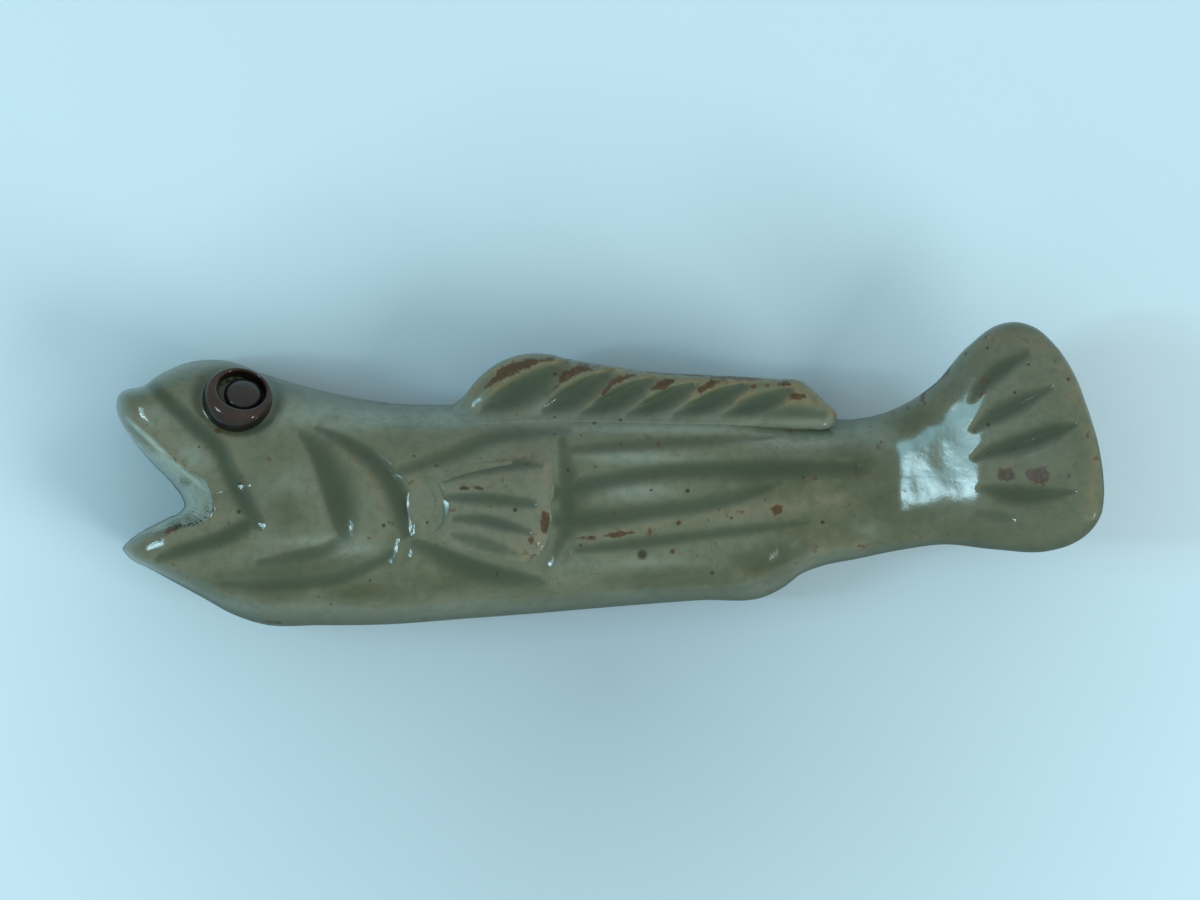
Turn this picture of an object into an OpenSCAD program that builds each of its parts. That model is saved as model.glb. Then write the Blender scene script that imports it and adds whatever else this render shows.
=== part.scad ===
// Chopstick rest in the form of a fish that lies on its side.
// A hand-built, glazed stoneware piece. The head, trunk and raised tail are one lump of clay.
// The back fin, the side fin, the eye ring and the pupil are laid into it with slip.
// X runs from the lips to the tail, Y from the belly to the back, Z up from the table.

/* [Fish] */
// whole length from the lips to the tip of the tail, mm
length = 65.7; // [58:0.1:74]
// whole width from the belly to the top of the tail, mm
width = 20.3; // [18:0.1:23]
// thickness of the trunk from the table to the upper flank, mm
thickness = 10.5; // [9.5:0.1:12]
// height of the underside of the tail tip above the table, mm
tail_lift = 9.2; // [8:0.1:10.5]
// how far the section reaches under the table level before the base is wiped flat, mm
base_sink = 0.4; // [0.3:0.05:0.6]

/* [Mouth] */
// level of the narrowest part of the mouth notch above the table, mm
mouth_level = 4.4; // [4:0.1:5]
// height over which the lips roll out above the narrowest level, mm
lip_roll_top = 5; // [4.4:0.1:5.6]
// height over which the lips roll out below it, mm
lip_roll_under = 2.6; // [2.2:0.1:3]
// how far the lips roll back from the notch, mm
lip_reach = 2; // [1.7:0.1:2.3]

/* [Tooled lines] */
// greatest half width of the lines pressed into head and flank, mm
line_tool = 1; // [0.8:0.05:1.2]
// depth of these lines, mm
line_depth = 0.55; // [0.4:0.05:0.7]
// greatest half width of the rays of the side fin and of the tail, mm
ray_tool = 0.75; // [0.6:0.05:0.9]
// depth of these rays, mm
ray_depth = 0.45; // [0.3:0.05:0.6]
// greatest half width of the hollows of the back fin, mm
hollow_tool = 1; // [0.8:0.05:1.2]
// depth of these hollows, mm
hollow_depth = 0.9; // [0.7:0.05:1.1]

/* [Fins] */
// greatest thickness of the back fin, mm
dorsal_thickness = 4.9; // [4.2:0.1:5.6]
// level of the underside of the back fin above the table, mm
dorsal_level = 3.1; // [2.7:0.1:3.4]
// how far the side fin stands above the flank, mm
pectoral_rise = 0.7; // [0.5:0.05:0.9]
// how deep the side fin is laid into the flank, mm
pectoral_seat = 1.5; // [1.2:0.05:1.8]

/* [Eye] */
// outer diameter of the eye ring, mm
eye_diameter = 4.7; // [4.2:0.1:5.2]
// diameter of the pupil, mm
pupil_diameter = 2.7; // [2.4:0.1:2.9]
// height of the eye ring from its seat to its crown, mm
eye_height = 2.2; // [1.9:0.05:2.5]
// height of the pupil from its seat to its crown, mm
pupil_height = 2.25; // [2:0.05:2.5]
// depth of the socket below the skin of the head, mm
socket_depth = 1.1; // [0.9:0.05:1.3]
// lean of the eye towards the back, degrees
eye_lean = 38; // [32:1:42]
// turn of that lean towards the tail, degrees
eye_turn = 15; // [8:1:22]

/* [Joints] */
// gap left for the slip round each piece that is laid in, mm
slip = 0.05; // [0.03:0.01:0.08]

/* [Hidden] */

// thickness of the slices that are joined up into the mouth notch
sliver = thickness / 1000;
// how far one length of a pressed line's cutter laps over the next
overlap = thickness / 400;
// points round each section of the trunk
trunk_points = 40;
// points round each section of a fin
fin_points = 24;
// share of the section's height at which it is widest
widest_share = 0.4;
// squareness of the underside of a section
under_square = 4.4;

// Rows along the fish: place along the length, belly edge, back edge and crest as shares of the width,
// lift as a share of the tail lift, thickness as a share of the trunk's, squareness of the section.
trunk_shares = [
    [-0.001, 0.717, 0.743, 0.730, 0.20, 0.30, 2.2],
    [0.003, 0.266, 0.763, 0.612, 0.17, 0.50, 2.2],
    [0.009, 0.240, 0.773, 0.572, 0.15, 0.62, 2.3],
    [0.021, 0.214, 0.785, 0.546, 0.12, 0.72, 2.4],
    [0.038, 0.181, 0.809, 0.533, 0.08, 0.80, 2.4],
    [0.061, 0.138, 0.855, 0.520, 0.04, 0.88, 2.5],
    [0.091, 0.079, 0.877, 0.507, 0.01, 0.95, 2.6],
    [0.122, 0.026, 0.862, 0.493, 0.00, 0.99, 2.6],
    [0.145, 0.002, 0.836, 0.480, 0.00, 1.00, 2.6],
    [0.188, 0.000, 0.793, 0.457, 0.00, 1.00, 2.6],
    [0.239, 0.002, 0.757, 0.431, 0.00, 1.00, 2.7],
    [0.289, 0.007, 0.734, 0.408, 0.00, 0.99, 2.7],
    [0.350, 0.023, 0.720, 0.392, 0.00, 0.98, 2.7],
    [0.421, 0.044, 0.712, 0.390, 0.00, 0.97, 2.7],
    [0.503, 0.069, 0.708, 0.395, 0.00, 0.95, 2.7],
    [0.574, 0.086, 0.705, 0.404, 0.00, 0.92, 2.7],
    [0.629, 0.094, 0.700, 0.414, 0.00, 0.88, 2.7],
    [0.663, 0.102, 0.694, 0.428, 0.00, 0.83, 2.7],
    [0.691, 0.155, 0.688, 0.442, 0.01, 0.76, 2.6],
    [0.726, 0.197, 0.683, 0.452, 0.05, 0.66, 2.6],
    [0.766, 0.230, 0.686, 0.467, 0.15, 0.54, 2.7],
    [0.802, 0.253, 0.730, 0.487, 0.28, 0.48, 2.9],
    [0.838, 0.265, 0.819, 0.526, 0.43, 0.44, 3.2],
    [0.863, 0.265, 0.914, 0.562, 0.54, 0.41, 3.4],
    [0.883, 0.260, 0.974, 0.586, 0.62, 0.39, 3.5],
    [0.904, 0.255, 1.000, 0.602, 0.70, 0.38, 3.5],
    [0.924, 0.252, 0.985, 0.605, 0.77, 0.36, 3.5],
    [0.944, 0.253, 0.938, 0.589, 0.84, 0.36, 3.4],
    [0.964, 0.263, 0.849, 0.559, 0.90, 0.35, 3.2],
    [0.980, 0.286, 0.740, 0.520, 0.95, 0.33, 3.0],
    [0.992, 0.332, 0.628, 0.480, 1.01, 0.29, 2.8],
    [0.998, 0.385, 0.536, 0.461, 1.06, 0.24, 2.5],
    [1.000, 0.428, 0.480, 0.454, 1.11, 0.17, 2.2]
];

// The mouth notch at its narrowest level, as shares of the length and of the width.
mouth_shares = [
    [-0.040, 0.712], [0.003, 0.704], [0.016, 0.651], [0.034, 0.576], [0.051, 0.500], [0.064, 0.438],
    [0.070, 0.401], [0.071, 0.378], [0.062, 0.362], [0.044, 0.338], [0.025, 0.308], [0.006, 0.264],
    [-0.040, 0.180]
];
// angles round the rolled lips at which the notch is measured
lip_angles = [-70, -40, 0, 25, 45, 62, 78];

// Pressed lines: rows of place along the length, place across the width, and half width as a share of the tool's.
// Upper lip, lower lip, two gills, two jaws, shoulder, under and behind the side fin, four along the flank.
line_shares = [
    [[0.036, 0.803, 0.50], [0.083, 0.658, 0.85], [0.107, 0.582, 0.85], [0.131, 0.424, 0.85], [0.144, 0.349, 0.55]],
    [[0.046, 0.214, 0.35], [0.086, 0.273, 0.75], [0.109, 0.299, 0.75], [0.143, 0.375, 0.50]],
    [[0.194, 0.632, 0.40], [0.204, 0.572, 0.75], [0.216, 0.480, 1.00], [0.224, 0.398, 1.00], [0.231, 0.316, 0.60]],
    [[0.207, 0.658, 0.30], [0.239, 0.605, 0.60], [0.267, 0.533, 0.80], [0.286, 0.451, 1.00], [0.293, 0.368, 1.00], [0.292, 0.296, 0.60]],
    [[0.145, 0.214, 0.35], [0.185, 0.237, 0.60], [0.212, 0.253, 0.60], [0.232, 0.303, 0.40]],
    [[0.109, 0.155, 0.40], [0.147, 0.141, 1.00], [0.188, 0.155, 1.00], [0.234, 0.171, 0.90], [0.280, 0.237, 0.40]],
    [[0.279, 0.507, 0.35], [0.324, 0.559, 0.75], [0.362, 0.602, 0.85], [0.401, 0.628, 0.85], [0.468, 0.632, 0.40]],
    [[0.304, 0.276, 0.35], [0.330, 0.224, 0.80], [0.360, 0.191, 1.00], [0.396, 0.168, 1.00], [0.437, 0.158, 0.50]],
    [[0.452, 0.612, 0.40], [0.458, 0.513, 0.60], [0.458, 0.398, 0.65], [0.454, 0.299, 0.50], [0.444, 0.217, 0.35]],
    [[0.454, 0.579, 0.40], [0.492, 0.589, 0.55], [0.553, 0.605, 0.60], [0.647, 0.622, 0.30]],
    [[0.452, 0.441, 0.80], [0.492, 0.480, 0.95], [0.543, 0.510, 0.95], [0.599, 0.523, 0.95], [0.726, 0.559, 0.50]],
    [[0.452, 0.339, 0.80], [0.492, 0.362, 0.95], [0.594, 0.405, 0.80], [0.647, 0.434, 0.60], [0.716, 0.480, 0.35]],
    [[0.464, 0.253, 0.35], [0.503, 0.270, 0.60], [0.604, 0.309, 0.65], [0.660, 0.329, 0.55], [0.708, 0.359, 0.30]]
];
// Rays of the tail, in the same way.
tail_ray_shares = [
    [[0.867, 0.730, 0.40], [0.883, 0.789, 0.80], [0.901, 0.842, 0.95], [0.919, 0.901, 0.60]],
    [[0.867, 0.651, 0.40], [0.888, 0.688, 0.90], [0.911, 0.724, 1.05], [0.937, 0.776, 0.75]],
    [[0.870, 0.553, 0.40], [0.894, 0.579, 0.80], [0.925, 0.609, 1.10], [0.963, 0.655, 0.50]],
    [[0.872, 0.457, 0.50], [0.898, 0.451, 0.95], [0.925, 0.444, 1.05], [0.965, 0.447, 0.40]],
    [[0.874, 0.375, 0.40], [0.890, 0.368, 0.65], [0.909, 0.359, 0.40]]
];

// Rows along the back fin: place along the length, root, edge and crest as shares of the width,
// lift as a share of the fin's thickness, thickness as a share of the greatest.
dorsal_shares = [
    [0.356, 0.655, 0.738, 0.700, 0.18, 0.50],
    [0.364, 0.648, 0.783, 0.705, 0.10, 0.74],
    [0.377, 0.643, 0.829, 0.710, 0.04, 0.90],
    [0.391, 0.640, 0.875, 0.715, 0.01, 0.97],
    [0.411, 0.638, 0.898, 0.715, 0.00, 1.00],
    [0.431, 0.636, 0.903, 0.715, 0.00, 1.00],
    [0.458, 0.634, 0.890, 0.712, 0.00, 0.99],
    [0.494, 0.632, 0.862, 0.710, 0.00, 0.97],
    [0.538, 0.630, 0.840, 0.705, 0.00, 0.94],
    [0.602, 0.628, 0.827, 0.700, 0.01, 0.90],
    [0.670, 0.626, 0.816, 0.694, 0.04, 0.83],
    [0.702, 0.624, 0.804, 0.688, 0.08, 0.74],
    [0.718, 0.624, 0.757, 0.680, 0.12, 0.64],
    [0.734, 0.624, 0.704, 0.668, 0.16, 0.52],
    [0.742, 0.628, 0.668, 0.650, 0.24, 0.34]
];
// Hollows between the rays of the back fin.
dorsal_ray_shares = [
    [[0.377, 0.704, 0.70], [0.396, 0.747, 1.10], [0.421, 0.796, 1.10], [0.454, 0.862, 0.50]],
    [[0.436, 0.697, 0.70], [0.454, 0.740, 0.95], [0.477, 0.786, 0.90], [0.501, 0.836, 0.40]],
    [[0.477, 0.688, 0.60], [0.496, 0.727, 0.85], [0.520, 0.766, 0.85], [0.543, 0.809, 0.40]],
    [[0.519, 0.684, 0.60], [0.541, 0.724, 0.80], [0.561, 0.757, 0.80], [0.584, 0.793, 0.35]],
    [[0.565, 0.681, 0.60], [0.588, 0.717, 0.80], [0.610, 0.750, 0.80], [0.636, 0.793, 0.35]],
    [[0.612, 0.678, 0.60], [0.637, 0.717, 0.80], [0.659, 0.747, 0.80], [0.681, 0.776, 0.35]]
];

// Rows along the side fin: place along the length, lower edge, upper edge, rise as a share of the fin's.
pectoral_shares = [
    [0.297, 0.370, 0.440, 0.40],
    [0.300, 0.336, 0.472, 0.64],
    [0.306, 0.306, 0.496, 0.84],
    [0.316, 0.280, 0.514, 0.96],
    [0.335, 0.255, 0.535, 1.00],
    [0.371, 0.227, 0.562, 1.00],
    [0.406, 0.204, 0.587, 1.00],
    [0.426, 0.200, 0.600, 1.00],
    [0.438, 0.228, 0.590, 0.94],
    [0.446, 0.300, 0.560, 0.74],
    [0.450, 0.360, 0.510, 0.40]
];
// The crescent across the root of the side fin, and its rays.
pectoral_ray_shares = [
    [[0.318, 0.474, 0.40], [0.330, 0.424, 0.80], [0.331, 0.382, 0.80], [0.321, 0.319, 0.40]],
    [[0.336, 0.467, 0.40], [0.360, 0.503, 0.75], [0.391, 0.536, 0.85], [0.440, 0.546, 0.40]],
    [[0.340, 0.428, 0.40], [0.365, 0.424, 0.75], [0.396, 0.418, 0.75], [0.427, 0.408, 0.50]],
    [[0.345, 0.368, 0.40], [0.371, 0.352, 0.75], [0.399, 0.336, 0.75], [0.429, 0.306, 0.50]],
    [[0.358, 0.283, 0.35], [0.383, 0.266, 0.65], [0.409, 0.237, 0.40]]
];

// Middle of the eye as shares of the length and of the width.
eye_share = [0.127, 0.745];

// A place in shares of the length and of the width, in mm.
function spot(p) = [(p[0] - 1 / 2) * length, (p[1] - 1 / 2) * width];
function share(q) = [q[0] / length + 1 / 2, q[1] / width + 1 / 2];

// Smooth step from row b to row c, with a before and d after them.
function ease(a, b, c, d, t) =
    b * (1 - t) * (1 - t) * (1 + 2 * t) + c * t * t * (3 - 2 * t)
    + (c - a) * t * (1 - t) * (1 - t) / 2 - (d - b) * t * t * (1 - t) / 2;

// Rows with smooth rows added between them, closer together than one part in `pieces` of the length.
function smooth(rows, pieces) = let (n = len(rows)) concat([
    for (i = [0 : n - 2])
        let (steps = max(1, ceil((rows[i + 1][0] - rows[i][0]) * pieces)))
            for (j = [0 : steps - 1])
                ease(rows[max(0, i - 1)], rows[i], rows[i + 1], rows[min(n - 1, i + 2)], j / steps)
], [rows[n - 1]]);

ribs = smooth(trunk_shares, 52);
dorsal_ribs = smooth(dorsal_shares, 48);
pectoral_ribs = smooth(pectoral_shares, 48);

// One column of a table of rows at a place along the length.
function column(rows, k, x) = lookup(x, [for (r = rows) [r[0], r[k]]]);

// Underside, top and widest level of the trunk at a place along the length.
function under(r) = r[4] * tail_lift - base_sink;
function over(r) = r[4] * tail_lift + r[5] * thickness;
function waist(r) = under(r) + widest_share * (over(r) - under(r));

// Height of a rounded top over a share u of the way from its crest to its edge.
function swell(u, square) = pow(max(0, 1 - pow(min(u, 1), square)), 1 / square);
function reach(y, low, high, crest) = y > crest ? (y - crest) / (high - crest) : (crest - y) / (crest - low);

// Height of the skin of the trunk above the table, at shares x and y.
function skin_at(x, y) =
    let (r = [for (k = [0 : 6]) column(ribs, k, x)], w = waist(r))
        w + (over(r) - w) * swell(min(reach(y, r[1], r[2], r[3]), 0.97), r[6]);

// A closed ring round the length: low and high edge, crest, bottom, widest level and top.
function bend(c, square) = sign(c) * pow(abs(c), 2 / square);
function ring(x, low, high, crest, bottom, middle, top, square, square_under, points) = [
    for (k = [0 : points - 1])
        let (a = 360 * (k + 1 / 2) / points, q = a < 180 ? square : square_under)
            [x, crest + (cos(a) > 0 ? high - crest : crest - low) * bend(cos(a), q),
             max(0, middle + (a < 180 ? top - middle : middle - bottom) * bend(sin(a), q))]
];

// Rings of the trunk.
function trunk_rings() = [
    for (r = ribs)
        let (low = spot([r[0], r[1]]), high = spot([r[0], r[2]]), crest = spot([r[0], r[3]]))
            ring(low[0], low[1], high[1], crest[1], under(r), waist(r), over(r), r[6], under_square, trunk_points)
];

// Rings of the back fin, grown all round by a gap.
function dorsal_bottom(r) = dorsal_level + r[4] * dorsal_thickness;
function dorsal_top(r) = dorsal_bottom(r) + r[5] * dorsal_thickness;
function dorsal_rings(gap) = [
    for (i = [0 : len(dorsal_ribs) - 1])
        let (r = dorsal_ribs[i], low = spot([r[0], r[1]]), high = spot([r[0], r[2]]), crest = spot([r[0], r[3]]),
             out = i == 0 ? -gap : i == len(dorsal_ribs) - 1 ? gap : 0, z = dorsal_bottom(r), t = dorsal_top(r))
            ring(low[0] + out, low[1] - gap, high[1] + gap, crest[1], z - gap, (z + t) / 2, t + gap,
                 2.6, 2.6, fin_points)
];
function dorsal_at(x, y) =
    let (r = [for (k = [0 : 5]) column(dorsal_ribs, k, x)], z = dorsal_bottom(r), t = dorsal_top(r))
        (z + t) / 2 + (t - z) / 2 * swell(min(reach(y, r[1], r[2], r[3]), 0.97), 2.6);

// Rings of the side fin, with a flat floor, grown all round by a gap.
pectoral_floor = 0.96 * thickness - pectoral_seat;
function pectoral_top(r) = let (mid = (r[1] + r[2]) / 2) skin_at(r[0], mid) + (2 * r[3] - 1) * pectoral_rise;
function pectoral_rings(gap) = [
    for (i = [0 : len(pectoral_ribs) - 1])
        let (r = pectoral_ribs[i], low = spot([r[0], r[1]]), high = spot([r[0], r[2]]), t = pectoral_top(r),
             out = i == 0 ? -gap : i == len(pectoral_ribs) - 1 ? gap : 0)
            ring(low[0] + out, low[1] - gap, high[1] + gap, (low[1] + high[1]) / 2, pectoral_floor - gap,
                 (pectoral_floor + t) / 2, t + gap, 2.8, 5, fin_points)
];
function pectoral_at(x, y) =
    let (r = [for (k = [0 : 3]) column(pectoral_ribs, k, x)], t = pectoral_top(r), m = (pectoral_floor + t) / 2)
        m + (t - m) * swell(min(reach(y, r[1], r[2], (r[1] + r[2]) / 2), 0.97), 2.8);

// A solid through a row of rings.
module loft(rings) {
    m = len(rings[0]);
    n = len(rings);
    sides = [
        for (i = [0 : n - 2], k = [0 : m - 1])
            let (a = i * m + k, b = i * m + (k + 1) % m)
                each [[a, a + m, b + m], [a, b + m, b]]
    ];
    first = [for (k = [0 : m - 1]) k];
    last = [for (k = [0 : m - 1]) n * m - 1 - k];
    polyhedron([for (r = rings) each r], concat(sides, [first, last]), convexity = 8);
}

// A pressed line as slices of its cutter. Each slice lies square to the line; its floor is a round hollow that
// follows the skin across. It is shallower where the line is narrower, and runs out at both ends.
cutter_shares = [-1.1, -0.6, 0, 0.6, 1.1];
function slice(rows, i, on, tool, depth, skin) =
    let (before = spot(rows[max(0, i - 1)]), after = spot(rows[min(len(rows) - 1, i + 1)]),
         way = (after - before) / norm(after - before), half = tool * rows[i][2], last = len(cutter_shares) - 1,
         sunk = i == 0 || i == len(rows) - 1 ? 0 : depth * sqrt(rows[i][2]),
         feet = [for (u = cutter_shares) spot(rows[i]) + on * way + u * half * [-way[1], way[0]]],
         levels = [for (q = feet) let (p = share(q)) skin(p[0], p[1])])
        concat(
            [for (k = [last, 0]) [each feet[k], levels[k] + tool]],
            [for (k = [0 : last]) [each feet[k], levels[k] - sunk * (1 - pow(cutter_shares[k], 2))]]
        );

// The cutter of one pressed line.
module press(rows, tool, depth, skin) {
    for (i = [0 : len(rows) - 2])
        hull()
            loft([for (k = [i, i + 1]) slice(rows, k, (k - i) * overlap, tool, depth, skin)]);
}

// The mouth notch, slice by slice, with its lips rolled out above and below.
module mouth_slice(a, shift) {
    roll = a < 0 ? lip_roll_under : lip_roll_top;
    translate([0, 0, mouth_level + roll * sin(a) + shift])
        linear_extrude(sliver)
            offset(r = lip_reach * (1 - cos(a)), $fn = 24)
                polygon([for (p = mouth_shares) spot(p)]);
}
module mouth_notch() {
    last = len(lip_angles) - 1;
    for (i = [0 : last - 1])
        hull() {
            mouth_slice(lip_angles[i], 0);
            mouth_slice(lip_angles[i + 1], 0);
        }
    hull() {
        mouth_slice(lip_angles[0], 0);
        mouth_slice(lip_angles[0], -thickness);
    }
    hull() {
        mouth_slice(lip_angles[last], 0);
        mouth_slice(lip_angles[last], thickness);
    }
}

// The frame of the eye: on the skin, leaning towards the back and a little towards the tail.
module at_eye() {
    p = spot(eye_share);
    translate([p[0], p[1], skin_at(eye_share[0], eye_share[1])])
        rotate([-eye_lean, 0, -eye_turn])
            translate([0, 0, -socket_depth])
                children();
}

// Head, trunk and tail, with the seats for the pieces that are laid in.
module body() {
    color([0.42, 0.47, 0.41])
        difference() {
            loft(trunk_rings());
            mouth_notch();
            for (line = line_shares)
                press(line, line_tool, line_depth, function (x, y) skin_at(x, y));
            for (line = tail_ray_shares)
                press(line, ray_tool, ray_depth, function (x, y) skin_at(x, y));
            loft(dorsal_rings(slip));
            loft(pectoral_rings(slip));
            at_eye()
                translate([0, 0, -slip])
                    cylinder(h = thickness, r = eye_diameter / 2 + 2 * slip, $fn = 40);
        }
}

// Fin along the back, its root tongue lying in the slot of the trunk.
module dorsal_fin() {
    color([0.46, 0.50, 0.44])
        difference() {
            loft(dorsal_rings(0));
            for (line = dorsal_ray_shares)
                press(line, hollow_tool, hollow_depth, function (x, y) dorsal_at(x, y));
        }
}

// Fin on the side, laid into its flat-floored seat.
module pectoral_fin() {
    color([0.47, 0.50, 0.45])
        difference() {
            loft(pectoral_rings(0));
            for (line = pectoral_ray_shares)
                press(line, ray_tool, ray_depth, function (x, y) pectoral_at(x, y));
        }
}

// Ring of clay round the eye, with a round crown and a hollow towards the pupil.
module eye_ring() {
    outer = eye_diameter / 2;
    inner = pupil_diameter / 2 + slip;
    crown = (outer - inner) / 2;
    color([0.38, 0.30, 0.27])
        at_eye()
            rotate_extrude($fn = 48)
                polygon(concat(
                    [[inner, 0], [outer, 0]],
                    [for (a = [0 : 15 : 165])
                        [outer - crown * 0.8 * (1 - cos(a)), eye_height - crown + crown * sin(a)]],
                    [[inner, eye_height - 1.5 * crown]]
                ));
}

// Domed pellet of clay in the middle of the ring.
module eye_pupil() {
    r = pupil_diameter / 2;
    color([0.34, 0.27, 0.25])
        at_eye()
            rotate_extrude($fn = 48)
                polygon(concat(
                    [[0, 0], [r, 0]],
                    [for (a = [0 : 15 : 90]) [r * cos(a), pupil_height - r * 0.7 + r * 0.7 * sin(a)]]
                ));
}

body();
dorsal_fin();
pectoral_fin();
eye_ring();
eye_pupil();
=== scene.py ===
import bpy
import numpy as np
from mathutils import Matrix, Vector


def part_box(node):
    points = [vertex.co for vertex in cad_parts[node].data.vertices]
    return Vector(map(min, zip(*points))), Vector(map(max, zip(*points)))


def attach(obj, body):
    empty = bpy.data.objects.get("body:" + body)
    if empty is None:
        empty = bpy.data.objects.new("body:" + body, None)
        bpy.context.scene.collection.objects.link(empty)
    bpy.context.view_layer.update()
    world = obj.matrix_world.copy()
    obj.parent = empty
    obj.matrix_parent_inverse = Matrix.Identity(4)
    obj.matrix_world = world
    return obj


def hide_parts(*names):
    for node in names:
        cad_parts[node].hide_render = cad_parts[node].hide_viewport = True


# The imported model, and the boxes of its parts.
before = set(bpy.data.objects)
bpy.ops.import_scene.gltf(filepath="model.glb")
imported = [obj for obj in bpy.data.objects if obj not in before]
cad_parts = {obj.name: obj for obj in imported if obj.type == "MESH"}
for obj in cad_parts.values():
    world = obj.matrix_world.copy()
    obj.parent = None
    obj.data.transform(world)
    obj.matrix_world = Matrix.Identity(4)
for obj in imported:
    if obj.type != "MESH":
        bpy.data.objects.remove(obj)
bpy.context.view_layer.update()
scene = bpy.context.scene
scene.view_settings.view_transform = "Standard"


# CAMERA
# Straight above the rest with the fish's back at the top of the picture, far enough away
# for the raised tail to keep its size beside the trunk.
view_width = 0.080      # metres across the picture at the height of the flank
flank_height = 0.006
camera_distance = 0.50
picture_middle = (-0.0005, 0.0016)

camera_data = bpy.data.cameras.new("camera")
camera_data.sensor_width = 36
camera_data.lens = camera_data.sensor_width * camera_distance / view_width
camera_data.clip_start = 0.01
camera = bpy.data.objects.new("camera", camera_data)
camera.location = (*picture_middle, flank_height + camera_distance)
scene.collection.objects.link(camera)
scene.camera = camera


# TABLE AND LIGHT
# A sheet of pale blue paper in an evenly bright room. A broad window at the lower right casts a
# soft shadow, and a small far one beside it glints in the glaze. A pane on the left, with sill and
# post, shows as the bright patch before the tail.
def add(tree, kind, links=None, **settings):
    """A node with its settings; links gives each socket a value or the socket that feeds it."""
    made = tree.nodes.new(kind)
    for key, value in settings.items():
        setattr(made, key, value)
    for key, value in (links or {}).items():
        if isinstance(value, bpy.types.NodeSocket):
            tree.links.new(value, made.inputs[key])
        else:
            made.inputs[key].default_value = value
    return made


def blend(tree, share, first, second):
    """The colour first where share is 0, turning into second where it is 1."""
    return add(tree, "ShaderNodeMix", {0: share, 6: first, 7: second}, data_type="RGBA").outputs[2]


def sum_up(tree, kind, first, second=0.0, third=0.0, clamp=False):
    """One step of arithmetic on values."""
    step = add(tree, "ShaderNodeMath", {0: first, 1: second, 2: third}, operation=kind, use_clamp=clamp)
    return step.outputs[0]


def new_material(name):
    """An empty material with its output and a Principled surface."""
    material = bpy.data.materials.new(name)
    material.use_nodes = True
    tree = material.node_tree
    tree.nodes.clear()
    surface = add(tree, "ShaderNodeBsdfPrincipled")
    add(tree, "ShaderNodeOutputMaterial", {"Surface": surface.outputs[0]})
    return material, tree, surface


paper, tree, surface = new_material("pale_blue_paper")
place = add(tree, "ShaderNodeTexCoord").outputs["Object"]
cloud = add(tree, "ShaderNodeTexNoise", {"Vector": place, "Scale": 22.0, "Detail": 3.0}).outputs["Fac"]
fibre = add(tree, "ShaderNodeTexNoise", {"Vector": place, "Scale": 900.0, "Detail": 3.0}).outputs["Fac"]
tint = blend(tree, cloud, (0.545, 0.740, 0.822, 1), (0.605, 0.820, 0.910, 1))
# A painted shadow: the paper is greyer just in front of the rest, and less so further away.
shadow_middle, shadow_reach, shadow_strength = (0.0, -0.014, 0.0), 0.042, 0.52
away = add(tree, "ShaderNodeVectorMath", {0: place, 1: shadow_middle}, operation="DISTANCE").outputs["Value"]
shadow_nearness = add(tree, "ShaderNodeMapRange", {0: away, 1: shadow_reach, 2: 0.0}).outputs[0]
tint = blend(tree, sum_up(tree, "MULTIPLY", shadow_nearness, shadow_strength), tint, (0.18, 0.27, 0.32, 1))
tree.links.new(tint, surface.inputs["Base Color"])
surface.inputs["Roughness"].default_value = 0.75
surface.inputs["Specular IOR Level"].default_value = 0.2
bump = add(tree, "ShaderNodeBump", {"Height": fibre, "Strength": 0.25, "Distance": 0.00003})
tree.links.new(bump.outputs[0], surface.inputs["Normal"])

sheet = bpy.data.meshes.new("table_paper")
half_sheet, paper_level = 1.5, -0.00003
corners = ((-1, -1), (1, -1), (1, 1), (-1, 1))
sheet.from_pydata([(x * half_sheet, y * half_sheet, paper_level) for x, y in corners], [], [(0, 1, 2, 3)])
sheet.materials.append(paper)
table_paper = bpy.data.objects.new("table_paper", sheet)
scene.collection.objects.link(table_paper)

world = bpy.data.worlds.new("room")
scene.world = world
world.use_nodes = True
background = next(n for n in world.node_tree.nodes if n.type == "BACKGROUND")
background.inputs["Color"].default_value = (0.93, 0.98, 1.0, 1)
background.inputs["Strength"].default_value = 0.60


def window(name, place, size, power, colour, mirrored=True):
    """A bright rectangle that faces the middle of the rest."""
    data = bpy.data.lights.new(name, "AREA")
    data.shape = "RECTANGLE"
    data.size, data.size_y = size
    data.energy = power
    data.color = colour
    lamp = bpy.data.objects.new(name, data)
    lamp.location = place
    lamp.rotation_euler = (-Vector(place)).to_track_quat("-Z", "Y").to_euler()
    lamp.visible_glossy = mirrored
    scene.collection.objects.link(lamp)


window("window_right", (0.45, -0.30, 0.36), (0.36, 0.30), 2.2, (1.0, 0.99, 0.96), mirrored=False)
window("window_far", (0.56, -0.40, 0.27), (0.045, 0.06), 0.25, (1.0, 1.0, 1.0))
window("window_left", (-0.29, 0.035, 0.29), (0.07, 0.10), 0.15, (0.36, 0.80, 1.0))
window("window_left_sill", (-0.29, -0.020, 0.29), (0.030, 0.10), 0.22, (0.55, 0.87, 1.0))
window("window_left_post", (-0.315, 0.020, 0.262), (0.10, 0.018), 0.06, (0.80, 0.95, 1.0))


# BODY
# One lump of stoneware, rolled and pinched into head, trunk and tail, pressed with a round wooden
# tool, dipped in a thin celadon-grey glaze and wiped clean underneath. Places are millimetres in
# the frame of the part: x from the lips to the tail, y from the belly to the back, z up.
mm = 0.001
glaze_marks = ("pool", "edge", "rust", "pit", "olive", "pale", "bare", "rim")


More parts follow.
